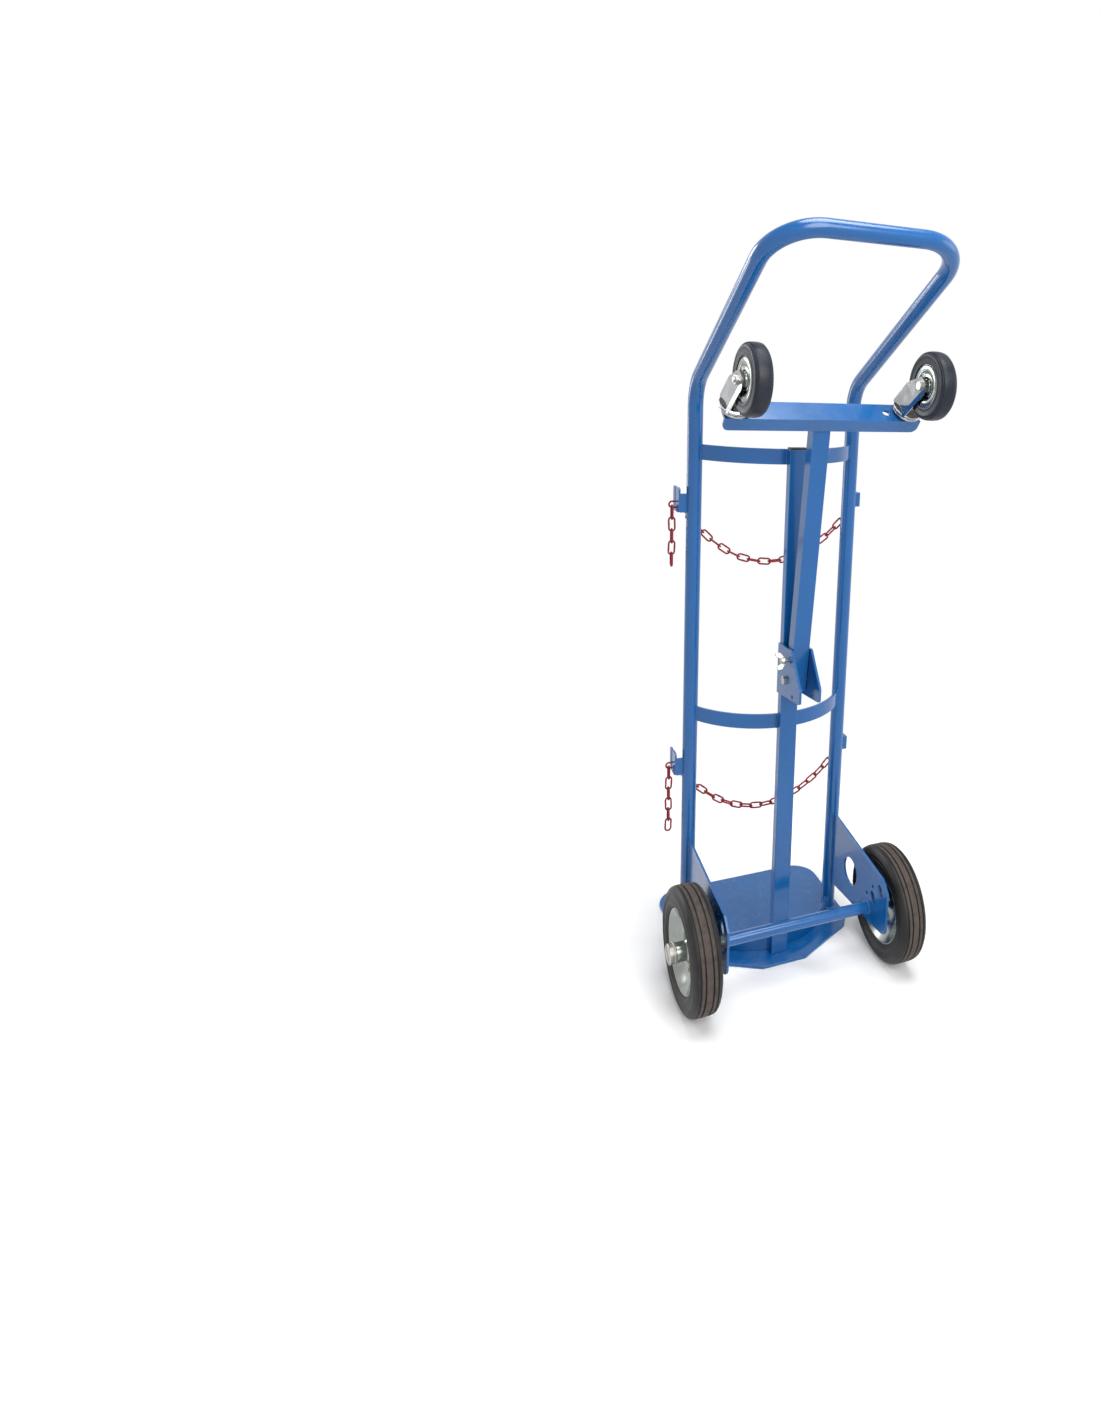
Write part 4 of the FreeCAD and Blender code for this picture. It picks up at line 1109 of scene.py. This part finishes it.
# Chain: one welded link, copied to the place of each CAD link
linkPlan = {
    "wire": 0.0015,
    "bend": 0.0050,
    "straight": 0.0130,
    "around": 14,
    "bendSteps": 14,
    "weld": 1.16,
    "weldSteps": (0.0007, 0.0006),
    "weldMiddle": 0.0003,
    "weldEnd": 0.0009,
    "weldShoulder": 0.75,
    "mergeGap": 1e-5,
    "shade": 60,
    "flatSpan": 0.006,
    "hangSlope": 0.05,
    "sortDigits": 5,
    "flipEvery": 3,
    "flipFrom": 1,
}


def makeLink(plan):
    # a round bar bent to a long loop in XZ, its ends butt welded on one side
    deselectAll()
    bpy.ops.mesh.primitive_circle_add(vertices=plan["around"], radius=plan["wire"], fill_type="NOTHING",
                                      location=(0, 0, plan["bend"]), rotation=(0, math.pi / 2, 0))
    piece = settleNewest("linkShape")
    editAll(piece)
    half = plan["straight"] / 2
    fromWeld = (*plan["weldSteps"], half - sum(plan["weldSteps"]))
    for step in fromWeld:
        extrude((step, 0, 0))
    bpy.ops.mesh.spin(steps=plan["bendSteps"], angle=-math.pi, center=(half, 0, 0), axis=(0, 1, 0))
    extrude((-2 * half, 0, 0))
    bpy.ops.mesh.spin(steps=plan["bendSteps"], angle=-math.pi, center=(-half, 0, 0), axis=(0, 1, 0))
    for step in reversed(fromWeld):
        extrude((step, 0, 0))
    leaveEdit()
    cleanSkin(piece, plan["mergeGap"])
    # the weld stands a little proud of the wire
    shoulder = 1 + (plan["weld"] - 1) * plan["weldShoulder"]
    for vertex in piece.data.vertices:
        if vertex.co.z > 0 and abs(vertex.co.x) < plan["weldEnd"]:
            grow = plan["weld"] if abs(vertex.co.x) < plan["weldMiddle"] else shoulder
            vertex.co.y *= grow
            vertex.co.z = plan["bend"] + (vertex.co.z - plan["bend"]) * grow
    smoothShade(piece, plan["shade"])
    return piece


def looseParts(skin):
    # by vertex number, so that every run finds them in the same order
    skin.verts.ensure_lookup_table()
    skin.verts.index_update()
    left = set(range(len(skin.verts)))
    while left:
        reach = [skin.verts[left.pop()]]
        loose = list(reach)
        while reach:
            vertex = reach.pop()
            for edge in vertex.link_edges:
                other = edge.other_vert(vertex)
                if other.index in left:
                    left.discard(other.index)
                    reach.append(other)
                    loose.append(other)
        yield loose


def linkPlaces(plan, node):
    # each loose link of a CAD node gives a centre and the directions of its length and width
    skin = bmesh.new()
    skin.from_mesh(bpy.data.objects[node].data)
    bmesh.ops.remove_doubles(skin, verts=skin.verts, dist=easePlan["mergeGap"])
    places = []
    for loose in looseParts(skin):
        low = [min(vertex.co[axis] for vertex in loose) for axis in range(3)]
        high = [max(vertex.co[axis] for vertex in loose) for axis in range(3)]
        centre = (Vector(low) + Vector(high)) / 2
        tip = max(loose, key=lambda vertex: (vertex.co - centre).length).co - centre
        along = Vector((tip.x, 0, tip.z)).normalized()
        hangs = abs(along.x) < plan["hangSlope"]
        if (along.z if hangs else along.x) < 0:
            along = -along
        liesFlat = high[1] - low[1] > plan["flatSpan"]
        places.append((centre, along, yAxis if liesFlat else along.cross(yAxis)))
    skin.free()
    digits = plan["sortDigits"]
    return sorted(places, key=lambda place: (round(place[0].x, digits), round(place[0].z, digits)))


def makeChains(plan):
    link = makeLink(plan)
    for level in ("upper", "lower"):
        for node in (f"{level}_hook_link", f"{level}_chain", f"{level}_chain_tail"):
            links = []
            for index, (centre, along, across) in enumerate(linkPlaces(plan, node)):
                # some links lie the other way round, so that the welds don't all line up
                if index % plan["flipEvery"] == plan["flipFrom"]:
                    across = -across
                turn = Matrix((along, across.cross(along), across)).transposed().to_4x4()
                links.append(copyPiece(link, f"{node}.link{index}", Matrix.Translation(centre) @ turn))
            finishPiece(joinPieces(links, f"{node}.links"), bodyOfNode[node], "red_chain", [node])
            print(node, len(links), "links")
    bpy.data.objects.remove(link)


makeChains(linkPlan)


# Floor, soft studio light and pale surroundings
stagePlan = {
    "floorSize": 60,
    "floorDrop": 0.0004,
    "floorFinish": {"Base Color": (0.93, 0.93, 0.93, 1), "Roughness": 0.85, "Specular IOR Level": 0.1},
    "white": (1, 1, 1, 1),
    "fade": (0.30, 1.1),
    "worldLevel": 0.25,
    "skyFade": (0.35, 0.95),
    "skyLevel": 0.45,
}
lamps = {
    "keySoft": {"place": (0.1, -2.75, 2.2), "aim": (0, -0.1, 0.6), "wide": 2.3, "watts": 80},
    "topSoft": {"place": (0.2, -0.5, 3.0), "aim": (0, -0.1, 0.5), "wide": 1.7, "watts": 58},
    "sideFill": {"place": (2.2, -0.9, 1.3), "aim": (0, -0.1, 0.6), "wide": 1.4, "watts": 7},
    "frontSoft": {"place": (-1.7, 1.7, 0.55), "aim": (0, -0.1, 0.4), "wide": 0.6, "watts": 5},
    "frontFill": {"place": (-1.9, 2.3, 1.7), "aim": (0, 0, 0.6), "wide": 1.4, "watts": 42},
}


def makeFloor(plan):
    deselectAll()
    bpy.ops.mesh.primitive_plane_add(size=plan["floorSize"], location=(0, 0, -plan["floorDrop"]))
    floor = settleNewest("paleFloor")
    material, tree, shader = newFinish("paleFloor", plan["floorFinish"])
    glow = addNode(tree, "ShaderNodeEmission")
    glow.inputs["Color"].default_value = plan["white"]
    mix = addNode(tree, "ShaderNodeMixShader")
    # shadows near the object, plain white further out
    tree.links.new(rangeNode(tree, vectorNode(tree, "LENGTH", coordNode(tree)), *plan["fade"]), mix.inputs[0])
    tree.links.new(shader.outputs[0], mix.inputs[1])
    tree.links.new(glow.outputs[0], mix.inputs[2])
    tree.links.new(mix.outputs[0], tree.nodes["Material Output"].inputs["Surface"])
    material.cycles.emission_sampling = "NONE"
    floor.data.materials.append(material)


def makeWorld(plan):
    world = bpy.data.worlds.new("paleStudio")
    scene.world = world
    world.use_nodes = True
    tree = world.node_tree
    background = tree.nodes["Background"]
    background.inputs["Color"].default_value = plan["white"]
    path = addNode(tree, "ShaderNodeLightPath")
    mirrored = mathNode(tree, "MAXIMUM", path.outputs["Is Glossy Ray"], path.outputs["Is Transmission Ray"])
    # white all round the horizon, greyer overhead where only reflections see it
    sky = rangeNode(tree, splitNode(tree, coordNode(tree))["Z"], *plan["skyFade"], 1.0, plan["skyLevel"])
    level = rangeNode(tree, mirrored, 0.0, 1.0, plan["worldLevel"], sky)
    level = mathNode(tree, "MAXIMUM", level, path.outputs["Is Camera Ray"])
    tree.links.new(level, background.inputs["Strength"])


def makeLamps(plans):
    for name, plan in plans.items():
        data = bpy.data.lights.new(name, "AREA")
        data.shape = "DISK"
        data.size = plan["wide"]
        data.energy = plan["watts"]
        lamp = bpy.data.objects.new(name, data)
        scene.collection.objects.link(lamp)
        lamp.location = plan["place"]
        beam = Vector(plan["aim"]) - lamp.location
        lamp.rotation_euler = beam.to_track_quat("-Z", "Y").to_euler()


makeFloor(stagePlan)
makeWorld(stagePlan)
makeLamps(lamps)
print("stage lit")
